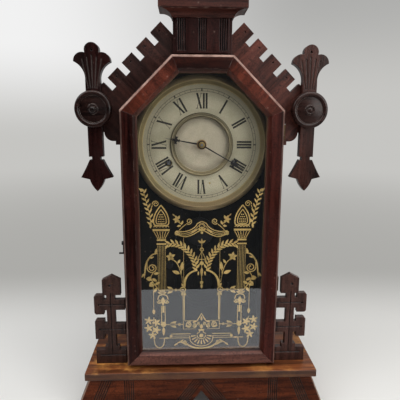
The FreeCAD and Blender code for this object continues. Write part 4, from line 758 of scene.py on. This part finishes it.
def end_tree(tree, geometry, material):
    """Ends a tree: copies become real faces and get the material."""
    real = add(tree, "GeometryNodeRealizeInstances", {0: geometry})[0]
    done = add(tree, "GeometryNodeSetMaterial", {"Geometry": real, "Material": material})[0]
    fill(tree, tree.nodes.new("NodeGroupOutput"), {0: done})
    print("tree", tree.name)


along, along_inputs, given = new_tree(
    "along_path", {"Shape": "Object", "Count": "Int", "Turn": "Float", "Size": "Float"})
line = add(along, "GeometryNodeMeshToCurve", {0: given["Geometry"]})[0]
points = add(along, "GeometryNodeResampleCurve", {"Curve": line, "Count": given["Count"]})[0]
tangent = add(along, "GeometryNodeInputTangent")[0]
heading = add(along, "FunctionNodeAlignRotationToVector", {"Vector": tangent}, axis="X", pivot_axis="Y")[0]
parity = math_step("MODULO")(along, add(along, "GeometryNodeInputIndex")[0], 2.0)
angle = times(along, times_plus(along, parity, 2.0, -1.0), given["Turn"])
swing = add(along, "FunctionNodeAxisAngleToRotation", {"Axis": (0.0, 1.0, 0.0), "Angle": angle})[0]
rotation = add(along, "FunctionNodeRotateRotation", {"Rotation": heading, "Rotate By": swing},
               rotation_space="LOCAL")[0]
shape = add(along, "GeometryNodeObjectInfo", {"Object": given["Shape"]})["Geometry"]
copies = add(along, "GeometryNodeInstanceOnPoints",
             {"Points": points, "Instance": shape, "Rotation": rotation, "Scale": given["Size"]})[0]
end_tree(along, copies, given["Material"])


# %% Running a node tree on a line
def line_mesh(name, lines, y, closed=False):
    """Flat lines in millimetres as edges at a level."""
    spots, edges = [], []
    for points in lines:
        first = len(spots)
        spots += [(p[0] * MM, y, p[1] * MM) for p in points]
        edges += [(first + i, first + i + 1) for i in range(len(points) - 1)]
        if closed:
            edges.append((len(spots) - 1, first))
    mesh = bpy.data.meshes.new(name)
    mesh.from_pydata(spots, edges, [])
    return mesh


def grown(tree, identifiers, mesh, values):
    """The plain mesh that a node tree makes from a mesh of edges."""
    carrier = bpy.data.objects.new("carrier", mesh)
    scene.collection.objects.link(carrier)
    step = carrier.modifiers.new(tree.name, "NODES")
    step.node_group = tree
    for label, value in values.items():
        step[identifiers[label]] = value
    result = bpy.data.meshes.new_from_object(carrier.evaluated_get(bpy.context.evaluated_depsgraph_get()))
    carrier.modifiers.remove(step)
    bpy.data.objects.remove(carrier)
    return result


def spread(name, lines, y, shape_faces, thickness, count, turn, size, material, closed=False):
    """Copies of a flat shape along lines, as one plain mesh."""
    shape_piece = bpy.data.objects.new("shape", flat_mesh("shape", shape_faces, 0.0, thickness / size))
    scene.collection.objects.link(shape_piece)
    made = grown(along, along_inputs, line_mesh(name, lines, y, closed),
                 {"Shape": shape_piece, "Count": count, "Turn": turn, "Size": size, "Material": material})
    bpy.data.objects.remove(shape_piece)
    made.name = name
    return made


def joined(name, meshes):
    """Several meshes of one material as one."""
    bm = bmesh.new()
    for mesh in meshes:
        bm.from_mesh(mesh)
    result = bpy.data.meshes.new(name)
    bm.to_mesh(result)
    bm.free()
    return result


print("path helpers ready")

# %% [markdown]
# ## The print on the dial
# The paper dial carries a minute track of two fine circles with a tick for each minute, and Roman numerals
# whose feet point to the middle. Printed numerals of this kind have thick strokes one way and hair-thin
# strokes the other, with thin serifs, so they are drawn from straight bars and not from a font. The fine
# lines have worn paler.


# %% Ink
def printed(name, tone_mask, rough_mask, dark, pale):
    """Ink that is uneven by two of the age masks."""
    material, tree, shader = new_material(name, IOR=1.4)
    spots = aged(tree, 90.0, 1500.0)
    fill(tree, shader, {"Base Color": blend_colour(tree, spots[tone_mask], dark, pale),
                        "Roughness": times_plus(tree, spots[rough_mask], 0.2, 0.55)})
    return material


ink = printed("printers_ink", "Speckle", "Clouds", (0.012, 0.011, 0.010), (0.035, 0.031, 0.024))
faint_ink = printed("worn_ink", "Clouds", "Speckle", (0.040, 0.036, 0.028), (0.095, 0.085, 0.062))
print("inks ready")

# %% Numerals and minute track
paper_front = front_of("dial_paper")
FOOT, HEAD = 42.4, 59.5
THICK, HAIR = 2.2, 0.60
NARROW = 0.88
TRACK, TRACK_LINE = (62.1, 65.0), 0.44
FILM = 0.03 * MM


def stroke_list(numeral):
    """The bars of a numeral of height 1, as (x0, z0, x1, z1, thick), and the numeral's width."""
    bars, x = [], 0.0
    for letter in numeral:
        if letter == "I":
            bars += [(x + 1.5, 0, x + 1.5, 1, True), (x, 0, x + 3.0, 0, False), (x, 1, x + 3.0, 1, False)]
            x += 3.7
        if letter == "V":
            bars += [(x + 1.5, 1, x + 4.2, 0, True), (x + 7.0, 1, x + 4.4, 0, False),
                     (x, 1, x + 3.0, 1, False), (x + 5.8, 1, x + 8.2, 1, False)]
            x += 8.6
        if letter == "X":
            bars += [(x + 1.5, 1, x + 6.9, 0, True), (x + 6.9, 1, x + 1.5, 0, False),
                     (x, 1, x + 3.0, 1, False), (x + 5.6, 1, x + 8.4, 1, False),
                     (x, 0, x + 3.0, 0, False), (x + 5.4, 0, x + 8.4, 0, False)]
            x += 9.0
    return bars, x - 0.6


def on_dial(u, radius, degrees):
    """A point beside the line from the dial's middle, at a clock angle."""
    turn = math.radians(degrees)
    return Vector((u * math.cos(turn) + radius * math.sin(turn),
                   dial_z - u * math.sin(turn) + radius * math.cos(turn)))


thick_faces, thin_faces = [], []
for hour, numeral in enumerate("I II III IIII V VI VII VIII IX X XI XII".split(), 1):
    bars, width = stroke_list(numeral)
    for x0, z0, x1, z1, thick in bars:
        ends = [on_dial((x - width / 2) * NARROW, FOOT + (HEAD - FOOT) * z, hour * 30)
                for x, z in ((x0, z0), (x1, z1))]
        (thick_faces if thick else thin_faces).extend(ribbon(ends, THICK if thick else HAIR))
for radius in TRACK:
    thin_faces += hoop(0, dial_z, radius, TRACK_LINE, count=120)
thick_print = flat_mesh("dial_numerals", thick_faces, paper_front - 0.04 * MM, FILM)
thin_print = flat_mesh("dial_fine_print", thin_faces, paper_front - 0.03 * MM, 0.02 * MM)
mount("dial_numerals", thick_print, ink, "case")
mount("dial_fine_print", thin_print, faint_ink, "case")

# %% Minute ticks
MINUTE_TICK, HOUR_TICK = (60, 2.9, 0.34), (12, 3.5, 1.5)
circle = [[on_dial(0, sum(TRACK) / 2, 3 * i) for i in range(120)]]
tick_level = paper_front - 0.05 * MM
ticks = []
for count, length, width in (MINUTE_TICK, HOUR_TICK):
    u, v = width / 2, length / 2
    tick = [[(-u, -v), (u, -v), (u, v), (-u, v)]]
    ticks.append(spread("ticks", circle, tick_level, tick, FILM, count, 0.0, 1.0, faint_ink, closed=True))
mount("dial_minute_ticks", joined("dial_minute_ticks", ticks), faint_ink, "case")

# %% [markdown]
# ## The gilt on the glass
# The pane carries a gilt ornament of a common old kind: two torch columns, a fern arch, a swag and a fan,
# put on from behind through a stencil. It is bronze powder in varnish, so it is only slightly metallic. An
# image could be laid on the pane, but drawn outlines stay sharp at any size, and each motif can be changed
# alone.

# %% Gilt
gilt, tree, shader = new_material("bronze_powder_gilt", Metallic=0.25, IOR=1.4)
spots = aged(tree, 70.0, 650.0)
tone = blend_colour(tree, spots["Clouds"], (0.75, 0.535, 0.205), (0.57, 0.39, 0.130))
tone = blend_colour(tree, times(tree, spots["Speckle"], 0.35), tone, (0.30, 0.19, 0.06))
fill(tree, shader, {"Base Color": tone, "Roughness": times_plus(tree, spots["Speckle"], 0.2, 0.42)})
print("gilt ready")


# %% Ornament shapes
def stem(points, start, end=None, swell=0.0):
    return ribbon(smooth(points), start, end, swell)


def bar(x0, x1, z0, z1):
    return [[Vector((x0, z0)), Vector((x1, z0)), Vector((x1, z1)), Vector((x0, z1))]]


def curl(x, z, radius, width, first, turns):
    """A spiral that winds in, with a round eye."""
    steps = int(abs(turns) * 20)
    shares = [i / steps for i in range(steps + 1)]
    line = [round_point(x, z, radius * (1 - 0.72 * t), first + 360 * turns * t) for t in shares]
    return ribbon(line, width, width * 0.8) + disc(*line[-1], width * 0.85, 10)


def rosette(x, z, angles, length, width):
    """Leaves round a point."""
    return [outline for degrees in angles for outline in leaf(x, z, degrees, length, width)]


def teardrop(x, foot, height, half_width, width):
    """The outline of a flame."""
    shape = [(0, 0), (0.86, 0), (1, 0.25), (0.7, 0.62), (0, 1)]
    side = smooth([(half_width * u, height * v) for u, v in shape])
    return [face for way in (-1, 1) for face in ribbon([(x + way * u, foot + v) for u, v in side], width)]


print("ornament shapes ready")

# %% [markdown]
# ## Drawing the ornament
# Only the left half is written down, and the right half is its mirror image, as on the real pane. The
# numbers are places on the pane in millimetres, from the clock's middle line and from the table, then
# lengths, widths and angles. Each cell below draws some motifs, from the torch columns to the fan at the
# foot.

# %% Torch columns
COLUMN = -48.4
half = teardrop(COLUMN, 244.4, 24.2, 8.9, 1.3) + teardrop(COLUMN, 246.2, 17.0, 5.9, 1.0)
for row, count in ((248.6, 4), (251.4, 4), (254.2, 3), (257.0, 2)):
    for i in range(count):
        half += disc(COLUMN + (i - (count - 1) / 2) * 2.1, row, 0.75, 8)
for i in range(5):
    half += hoop(COLUMN + (i - 2) * 3.7, 241.6, 1.5, 0.8, 0, 180, 10)
half += bar(-58.8, -38.4, 237.0, 239.4) + bar(-53.8, -43.0, 224.8, 226.8) + bar(-54.2, -42.7, 219.9, 221.8)
for i in range(6):
    share = (i - 2.5) / 2.5
    flute = ((9.0, 236.4), (6.0, 231.0), (4.2, 227.2))
    half += stem([(COLUMN + spread_out * share, z) for spread_out, z in flute], 0.8)
    half += bar(COLUMN - 4.7 + i * 1.8, COLUMN - 4.28 + i * 1.8, 163.0, 219.0)
half += rosette(COLUMN, 156.5, (60, 90, 120, 30, 150), 6.5, 2.6)
knot = COLUMN + 0.8
for way in (-1, 1):
    half += stem([(knot, 156), (knot + 4.6 * way, 154.5), (knot + 6.4 * way, 149.5)], 1.2)
    half += curl(knot + 4.2 * way, 147.0, 3.0, 1.1, 0 if way > 0 else 180, -1.3 * way)
half += leaf(knot, 153, -90, 12, 4.6)
half += bar(-50.1, -49.2, 119, 141) + bar(-45.6, -44.7, 119, 141) + bar(-48.6, -46.2, 132, 141)
half += disc(-47.4, 116.0, 3.3) + bar(-50.6, -44.4, 118.4, 119.8) + leaf(-47.3, 113.0, -90, 12.5, 3.6)
print("columns", len(half), "outlines")

# %% Scrolls, vine and string beside the columns
half += stem([(-53.4, 209), (-60.4, 207), (-67.0, 197.0), (-69.0, 185.0), (-69.8, 177.5)], 1.0, 0.7, 1.0)
half += stem([(-60.4, 207), (-65.6, 199.5), (-66.2, 190.5)], 0.9) + curl(-60.2, 190.5, 6.2, 1.2, 175, 1.7)
half += leaf(-56.0, 207.6, 78, 8.0, 3.0) + leaf(-63.0, 203.0, 20, 6.0, 2.4) + leaf(-69.4, 184, 235, 7.0, 2.6)
half += stem([(-58.8, 184.6), (-62.0, 178), (-58.0, 170), (-52.0, 161.5)], 1.0)
for x, z, degrees in ((-58.6, 183, 10), (-61.0, 179, 200), (-61.0, 175, 165), (-60.0, 173, 235),
                      (-57.6, 169, 195), (-57.0, 169, 30), (-60.6, 177, 330), (-55.0, 165, 240)):
    half += leaf(x, z, degrees, 7.2, 3.6)
half += bar(-59.4, -58.8, 135, 168) + leaf(-59.1, 137.0, -90, 7.5, 3.8)
for x, z, first in ((-65.6, 121.4, 10), (-56.2, 118.8, 40), (-66.0, 111.4, 30), (-56.4, 108.8, 0),
                    (-61.0, 101.6, 18)):
    half += rosette(x, z, [first + 72 * i for i in range(5)], 5.9, 2.7)
half += stem([(-59.2, 126.0), (-60.4, 116.0), (-60.0, 104.0), (-59.4, 96.0)], 0.6)
half += stem([(-61.4, 258.6), (-60.2, 263.5), (-58.4, 268.5)], 0.8) + curl(-54.6, 270.0, 4.0, 0.9, 190, -1.4)
half += curl(-70.6, 286.0, 2.2, 0.9, -20, 1.2)
half += leaf(-60.4, 246.0, -100, 6.0, 2.8) + leaf(-60.8, 250.0, -35, 5.0, 2.2)
print("with scrolls", len(half), "outlines")

# %% Bars, inner columns and the arch
half += bar(-53.0, -24.0, 161.4, 162.4) + rosette(-34.6, 161.9, (150, 180, 210), 9.0, 3.6)
half += disc(-31.6, 161.9, 1.7) + leaf(-30.2, 161.9, 0, 5.5, 2.6)
half += hoop(-23.0, 162.2, 3.2, 1.2) + disc(-23.0, 162.2, 1.2) + leaf(-22.0, 166.0, 120, 5.5, 2.6)
half += leaf(-22.4, 158.6, 235, 5.0, 2.6) + leaf(-21.6, 158.6, 300, 5.0, 2.6)
half += bar(-22.2, -21.75, 166, 228.6) + bar(-23.2, -22.5, 122.0, 156.6) + bar(-22.0, -20.9, 122.0, 156.6)
half += stem([(-21.4, 166), (-20.2, 174.5), (-16.6, 181.4), (-11.0, 185.6), (-5.4, 187.4)], 3.0, 1.8)
half += rosette(-37.4, 204.6, (100, 170, 235, 305, 30), 6.0, 3.4) + disc(-37.4, 204.6, 1.6)
half += stem([(-36.0, 202.4), (-30.2, 196.6), (-26.2, 187), (-23.4, 172)], 1.0)
half += leaf(-24.6, 186.5, 84, 12.0, 4.2) + leaf(-26.6, 183.0, 158, 10.0, 4.6)
half += leaf(-29.2, 196.0, 60, 6.0, 2.8) + stem([(-22.6, 171), (-24.8, 179), (-24.8, 187)], 0.8)
half += bar(-44.6, -22.6, 115.4, 116.4) + rosette(-39.6, 115.9, (26, 0, -26), 9.6, 3.6)
half += disc(-27.6, 115.9, 1.8)
half += bar(-22.8, -5.6, 120.4, 121.0) + bar(-22.8, -7.0, 109.2, 109.7) + bar(-22.8, -22.2, 109.0, 121.0)
half += curl(-16.4, 115.6, 3.7, 1.2, -60, 1.4) + curl(-8.8, 113.6, 3.0, 1.1, 120, -1.4)
half += leaf(-13.6, 111.6, 160, 7.5, 2.6) + leaf(-11.4, 118.2, 20, 7.0, 2.6)
half += leaf(-18.6, 118.4, 10, 6.0, 2.0)
print("with bars", len(half), "outlines")

# %% Swag, sprays and fan
swag_top = smooth([(-32.1, 235.1), (-29.6, 236.9), (-22.3, 236.1), (-13.9, 238.1), (-7.9, 242.1),
                   (-5.2, 246.0), (0, 248.6)])
swag_foot = smooth([(-32.1, 235.1), (-29.1, 232.5), (-19.8, 229.8), (-11.3, 232.2), (-6.8, 234.8),
                    (-4.0, 236.4), (0, 238.6)])
for share, width in ((0.0, 1.0), (0.36, 0.6), (0.68, 0.6), (1.0, 1.1)):
    half += ribbon([Vector(a).lerp(Vector(b), share) for a, b in zip(swag_top, swag_foot)], width)
half += curl(-30.0, 233.6, 3.0, 0.9, -30, 1.3) + leaf(-13.0, 234.4, 32, 9.0, 2.2)
half += hoop(0, 243.4, 3.0, 0.8, 90, 270, 14)
half += stem([(-27.0, 238.0), (-23.0, 242.0), (-19.0, 245.2)], 0.8) + curl(-15.4, 248.8, 3.9, 1.0, 220, 1.4)
half += stem([(-34.2, 257.6), (-29.4, 252.0), (-24.4, 244.6)], 0.8)
half += rosette(-29.0, 251.0, (62, 118, 178, 232, 300), 5.6, 3.0) + leaf(-24.4, 244.6, 70, 5.4, 2.6)
half += leaf(-24.8, 243.6, 190, 5.4, 2.6) + leaf(-32.4, 255.4, 135, 3.6, 1.6)
half += bar(-53.0, -36.0, 97.0, 97.8) + leaf(-40.0, 97.4, 180, 7.0, 2.6) + disc(-38.0, 100.0, 1.8)
half += bar(-38.0, -13.6, 102.4, 103.3) + bar(-36.6, -14.6, 97.0, 97.7) + bar(-36.6, -14.0, 99.7, 100.2)
half += stem([(-20.8, 92.6), (-16.4, 87.4), (-9.0, 83.8), (0, 82.6)], 0.9, 1.4, 1.0)
half += stem([(-31.6, 88.6), (-27.6, 91.6), (-23.0, 90.4), (-19.0, 87.8), (-15.6, 88.2)], 0.8, 0.8, 1.2)
half += leaf(-27.4, 91.0, 40, 6.4, 2.4) + leaf(-29.6, 90.2, 215, 6.0, 2.4)
half += curl(-20.6, 91.4, 2.4, 0.9, 200, -1.2)
half += stem([(-14.6, 99.4), (-13.4, 92.4), (-7.4, 87.2), (0, 85.6)], 1.0)
half += bar(-3.6, 0, 106.8, 109.0) + stem([(-2.0, 106.8), (-2.8, 104.6), (-5.6, 103.0)], 1.0)
print("left half", len(half), "outlines")

# %% Motifs on the middle line
FAN_Z = 101.2
middle = []
for i in range(9):
    ray = [round_point(0, FAN_Z, radius, 188 + 20.5 * i) for radius in (7.0, 13.0)]
    middle += ribbon(ray, 0.9, 1.9)
middle += hoop(0, FAN_Z, 5.4, 0.9, 180, 360) + disc(0, 100.2, 2.6)
middle += ribbon([(-5.6, 120.2), (-3.0, 124.6), (0, 130.4), (3.0, 124.6), (5.6, 120.2)], 1.4)
middle += leaf(0, 120.6, 90, 6.4, 2.6)
middle += curl(-3.4, 116.2, 2.4, 0.9, 60, 1.1) + curl(3.4, 116.2, 2.4, 0.9, 120, -1.1)
middle += leaf(0, 109.6, 90, 6.5, 4.4) + rosette(0, 236.4, (40, 90, 140), 6.5, 2.6) + disc(0, 234.6, 1.5)
middle += bar(-0.3, 0.3, 163.5, 227.0) + rosette(0, 221.6, (90, 38, 142), 5.8, 2.4)
middle += hoop(0, 213.6, 2.0, 0.9) + ribbon([(-5.2, 200.4), (0, 211.6), (5.2, 200.4)], 0.9)
middle += bar(-5.4, 5.4, 200.8, 201.6) + disc(0, 196.2, 2.5) + leaf(0, 191.5, -90, 13.0, 3.2)
middle += leaf(-3.8, 186.0, -96, 5.6, 2.2) + leaf(3.8, 186.0, -84, 5.6, 2.2)
middle += disc(0, 171.4, 2.1) + leaf(0, 169.8, -90, 6.6, 2.6)
whole = half + [[Vector((-p[0], p[1])) for p in outline] for outline in half] + middle
gilt_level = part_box("door_glass")[1][1] + 0.02 * MM
mount("gilt_ornament", flat_mesh("gilt_ornament", whole, gilt_level, FILM), gilt, "door")

# %% [markdown]
# ## Garlands
# The fern arch and the sprays beside the dial are stems with leaves to both sides, and a string of beads
# hangs at each lower corner. These are copies along a path, so the node tree from above sets them, a film's
# thickness behind the ornament so that the two never share a face.

# %% Leaves and beads on stems
fern = [(-5.7, 187), (-8.1, 198), (-12.2, 206.5), (-18.2, 214), (-26.2, 219.3), (-35.2, 221.4),
        (-40.4, 220.4)]
frond = [(-60.2, 244.5), (-60.8, 249), (-62.6, 260.6), (-65.4, 271.6), (-67.0, 279), (-68.8, 285.4)]
string = [(-59.4, 97), (-57.8, 88), (-52.6, 84), (-47.8, 88), (-46.2, 97)]


def both_sides(line):
    return [[(way * x, z) for x, z in smooth(line)] for way in (1, -1)]


leaf_level, stem_level = gilt_level + FILM, gilt_level + 2 * FILM
fern_leaf, bead = leaf(0, 0, 0, 1.0, 0.34), disc(0, 0, 0.5, 10)
garlands = []
for line, count, turn, size in ((fern, 23, 0.72, 7.4), (frond, 15, 0.75, 6.4)):
    sides = both_sides(line)
    stems = [face for side in sides for face in ribbon(side, 0.8, 0.5)]
    garlands.append(spread("leaves", sides, leaf_level, fern_leaf, FILM, count, turn, size, gilt))
    garlands.append(flat_mesh("stems", stems, stem_level, FILM))
garlands.append(spread("beads", both_sides(string), leaf_level, bead, FILM, 17, 0.0, 1.7, gilt))
mount("gilt_garlands", joined("gilt_garlands", garlands), gilt, "door")

# %% [markdown]
# ## The gong wire
# The clock strikes on a flat coil of steel wire. The CAD gong is such a coil too, but of few faces. Here it
# is a smooth round tube along the same half circles, made by a second small node tree that sweeps a circle
# along a line, and it takes the place of the CAD one.

# %% Gong wire
wire, wire_inputs, given = new_tree("swept_wire", {"Radius": "Float"})
line = add(wire, "GeometryNodeMeshToCurve", {0: given["Geometry"]})[0]
ring = add(wire, "GeometryNodeCurvePrimitiveCircle", {"Resolution": 14, "Radius": given["Radius"]})[0]
tube = add(wire, "GeometryNodeCurveToMesh", {"Curve": line, "Profile Curve": ring, "Fill Caps": True})[0]
end_tree(wire, tube, given["Material"])


def coil_line(inner, turns, pitch):
    """Half circles of growing radius, from the inside out, after a straight lead."""
    points = [(inner, -inner)]
    radius, start = inner, inner
    for i in range(2 * turns):
        way = 1 if i % 2 == 0 else -1
        centre = start - way * radius
        angles = [math.pi * k / 36 for k in range(36)]
        points += [(centre + way * radius * math.cos(a), way * radius * math.sin(a)) for a in angles]
        start, radius = start - 2 * way * radius, radius + pitch / 2
    return points + [(start, 0.0)]


GONG_INNER, GONG_TURNS, GONG_PITCH, WIRE = 9.0, 4, 8.4, 1.3
coil_low, coil_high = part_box("gong_coil")
gong_z = middle_height("gong_block")
coil = [[(x, gong_z + z) for x, z in coil_line(GONG_INNER, GONG_TURNS, GONG_PITCH)]]
coil_mesh = line_mesh("gong_wire", coil, (coil_low[1] + coil_high[1]) / 2)
tube_mesh = grown(wire, wire_inputs, coil_mesh, {"Radius": WIRE * MM, "Material": iron})
gong = mount("gong_wire", tube_mesh, iron, "case")
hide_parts("gong_coil")

# %% [markdown]
# ## The nails of the back
# The back board is held by rows of nails along its sides and its foot. Their heads are small eight-sided
# plates, set by the tree that copies along a path, because a loop of separate objects would be slower and
# harder to space.

# %% Nails of the back board
INSET, CORNER, SLOPED_FROM = 4.5, 12.0, 374.0
HEAD_RADIUS, HEAD_SUNK, HEAD_HEIGHT, NAILS_IN_ROW = 1.3, 0.4, 0.45, 6
board_low, board_high = (tuple(v / MM for v in corner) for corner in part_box("back_board"))
first, last, low = board_low[0] + INSET, board_high[0] - INSET, board_low[2] + INSET
rows = [[(first, low), (first, SLOPED_FROM)], [(last, low), (last, SLOPED_FROM)],
        [(first + CORNER, low), (last - CORNER, low)]]
head, head_level = disc(0, 0, HEAD_RADIUS, 8), (board_high[1] - HEAD_SUNK) * MM
nails = spread("back_nails", rows, head_level, head, HEAD_HEIGHT * MM, NAILS_IN_ROW, 0.0, 1.0, iron)
mount("back_nails", nails, iron, "case")

# %% [markdown]
# ## The floor
# The clock stands on a plain pale table. Away from it the table fades into the backdrop on all sides, so
# that no horizon line shows. What the camera sees and what the clock's gloss mirrors are kept apart: the
# pane mirrors the front of the table below and a dark room above it, and varnish mirrors a dimmer table.
# Where the door stands open, a ray that only went through the pane sees the same backdrop as the camera.


# %% Floor
def seen_share(tree, path):
    """Rays straight from the camera or from it through a pane, and of these the ones through a pane."""
    bounces = plus(tree, path["Glossy Depth"], path["Diffuse Depth"])
    through = times(tree, path["Is Transmission Ray"], below(tree, bounces, 0.5))
    return larger(tree, path["Is Camera Ray"], through), through


BLACK = (0.0, 0.0, 0.0)
HORIZON, BEHIND = (0.560, 0.556, 0.537), (0.410, 0.406, 0.388)
FLOOR_REACH, FLOOR_DROP, TABLE_EDGE = 6.0, 0.0005, -0.412
corners = [(FLOOR_REACH * x, FLOOR_REACH * y, 0) for x, y in ((-1, -1), (1, -1), (1, 1), (-1, 1))]
floor_mesh = bpy.data.meshes.new("floor")
floor_mesh.from_pydata(corners, [], [(0, 1, 2, 3)])
floor = bpy.data.objects.new("floor", floor_mesh)
floor.location.z = -FLOOR_DROP
scene.collection.objects.link(floor)
print("floor", FLOOR_REACH * 2, "m")

# %% Table finish
pale, tree, shader = new_material("pale_table", Roughness=0.8, Specular_IOR_Level=0.0, Emission_Strength=1.0)
place = object_place(tree)
y = split(tree, place)[1]
path = add(tree, "ShaderNodeLightPath")
away = vector_math(tree, "LENGTH", place)["Value"]
far = larger(tree, ramp(tree, y, 0.15, 0.46), ramp(tree, away, 0.8, 2.2))
seen, through = seen_share(tree, path)
far_share = times(tree, far, seen)
mirror_share = times(tree, path["Is Glossy Ray"], minus(tree, 1.0, through))
table = blend_colour(tree, far_share, (0.80, 0.80, 0.786), BLACK)
near_table = blend_colour(tree, path["Is Singular Ray"], (0.42, 0.42, 0.41), (1.02, 1.05, 1.10))
far_table = blend_colour(tree, path["Is Singular Ray"], (0.020, 0.022, 0.028), (0.060, 0.065, 0.070))
mirrored = blend_colour(tree, below(tree, y, TABLE_EDGE), near_table, far_table)
backdrop = blend_colour(tree, ramp(tree, away, 0.5, 3.0), BEHIND, HORIZON)
glow = blend_colour(tree, far_share, BLACK, backdrop)
fill(tree, shader, {"Base Color": blend_colour(tree, mirror_share, table, BLACK),
                    "Emission Color": blend_colour(tree, mirror_share, glow, mirrored)})
floor_mesh.materials.append(pale)
print("table ready")

# %% [markdown]
# ## The lamps
# The light is that of a plain room: one wide soft lamp from above and in front, a weaker one from the left,
# and a small one on the right that shows the turned and fretted pieces. Large lamps give the soft shadow
# under the shelf.


# %% Lamps
def lamp(name, place, target, size, watts, colour):
    data = bpy.data.lights.new(name, "AREA")
    data.shape = "RECTANGLE"
    data.size, data.size_y = size
    data.energy = watts
    data.color = colour
    made = bpy.data.objects.new(name, data)
    made.location = place
    made.rotation_euler = (Vector(target) - Vector(place)).to_track_quat("-Z", "Y").to_euler()
    scene.collection.objects.link(made)
    print(name, watts, "W")


WARM, COOL = (1.0, 0.98, 0.95), (0.98, 0.99, 1.0)
lamp("top_lamp", (0.12, -0.55, 1.50), (0, 0, 0.28), (1.5, 0.9), 14.5, WARM)
lamp("left_lamp", (-1.0, -0.5, 1.15), (-0.1, -0.1, 0.0), (0.8, 0.8), 5.8, COOL)
lamp("right_lamp", (0.55, -0.52, 0.52), (0.06, 0, 0.33), (0.30, 0.45), 1.85, WARM)

# %% [markdown]
# ## The room
# The world has three looks, chosen by the kind of ray: a pale backdrop for the camera, brighter on the
# left, an even grey that lights the clock, and a room for reflections, which is dark but for a window on
# the right and a pale ceiling and wall behind. The pane's sharp mirror leaves the window out, because none
# shows in it.

# %% Room
GREY, BRIGHT, WINDOW = (0.34, 0.34, 0.34), (0.88, 0.88, 0.88), (0.95, 0.95, 0.93)
room = bpy.data.worlds.new("room")
scene.world = room
room.use_nodes = True
tree = room.node_tree
x, y, z = split(tree, add(tree, "ShaderNodeTexCoord")["Generated"])
path = add(tree, "ShaderNodeLightPath")
wall = times(tree, ramp(tree, y, -0.05, 0.35), 0.55)
pale_share = larger(tree, ramp(tree, z, 0.30, 0.85), wall)
dark_room = blend_colour(tree, path["Is Singular Ray"], (0.012, 0.013, 0.016), (0.070, 0.068, 0.064))
mirrored = blend_colour(tree, pale_share, dark_room, (0.5, 0.5, 0.5))
window = times(tree, ramp(tree, x, 0.06, 0.34), minus(tree, 1.0, path["Is Singular Ray"]))
mirrored = blend_colour(tree, window, mirrored, WINDOW)
left_share = times(tree, ramp(tree, x, 0.30, -0.36), ramp(tree, z, -0.05, 0.17))
right_side = blend_colour(tree, ramp(tree, z, 0.04, 0.28), HORIZON, (0.42, 0.42, 0.41))
backdrop = blend_colour(tree, left_share, right_side, BRIGHT)
lit = blend_colour(tree, path["Is Glossy Ray"], GREY, mirrored)
shown = blend_colour(tree, seen_share(tree, path)[0], lit, backdrop)
fill(tree, tree.nodes["Background"], {"Color": shown, "Strength": 1.0})
print("room ready")
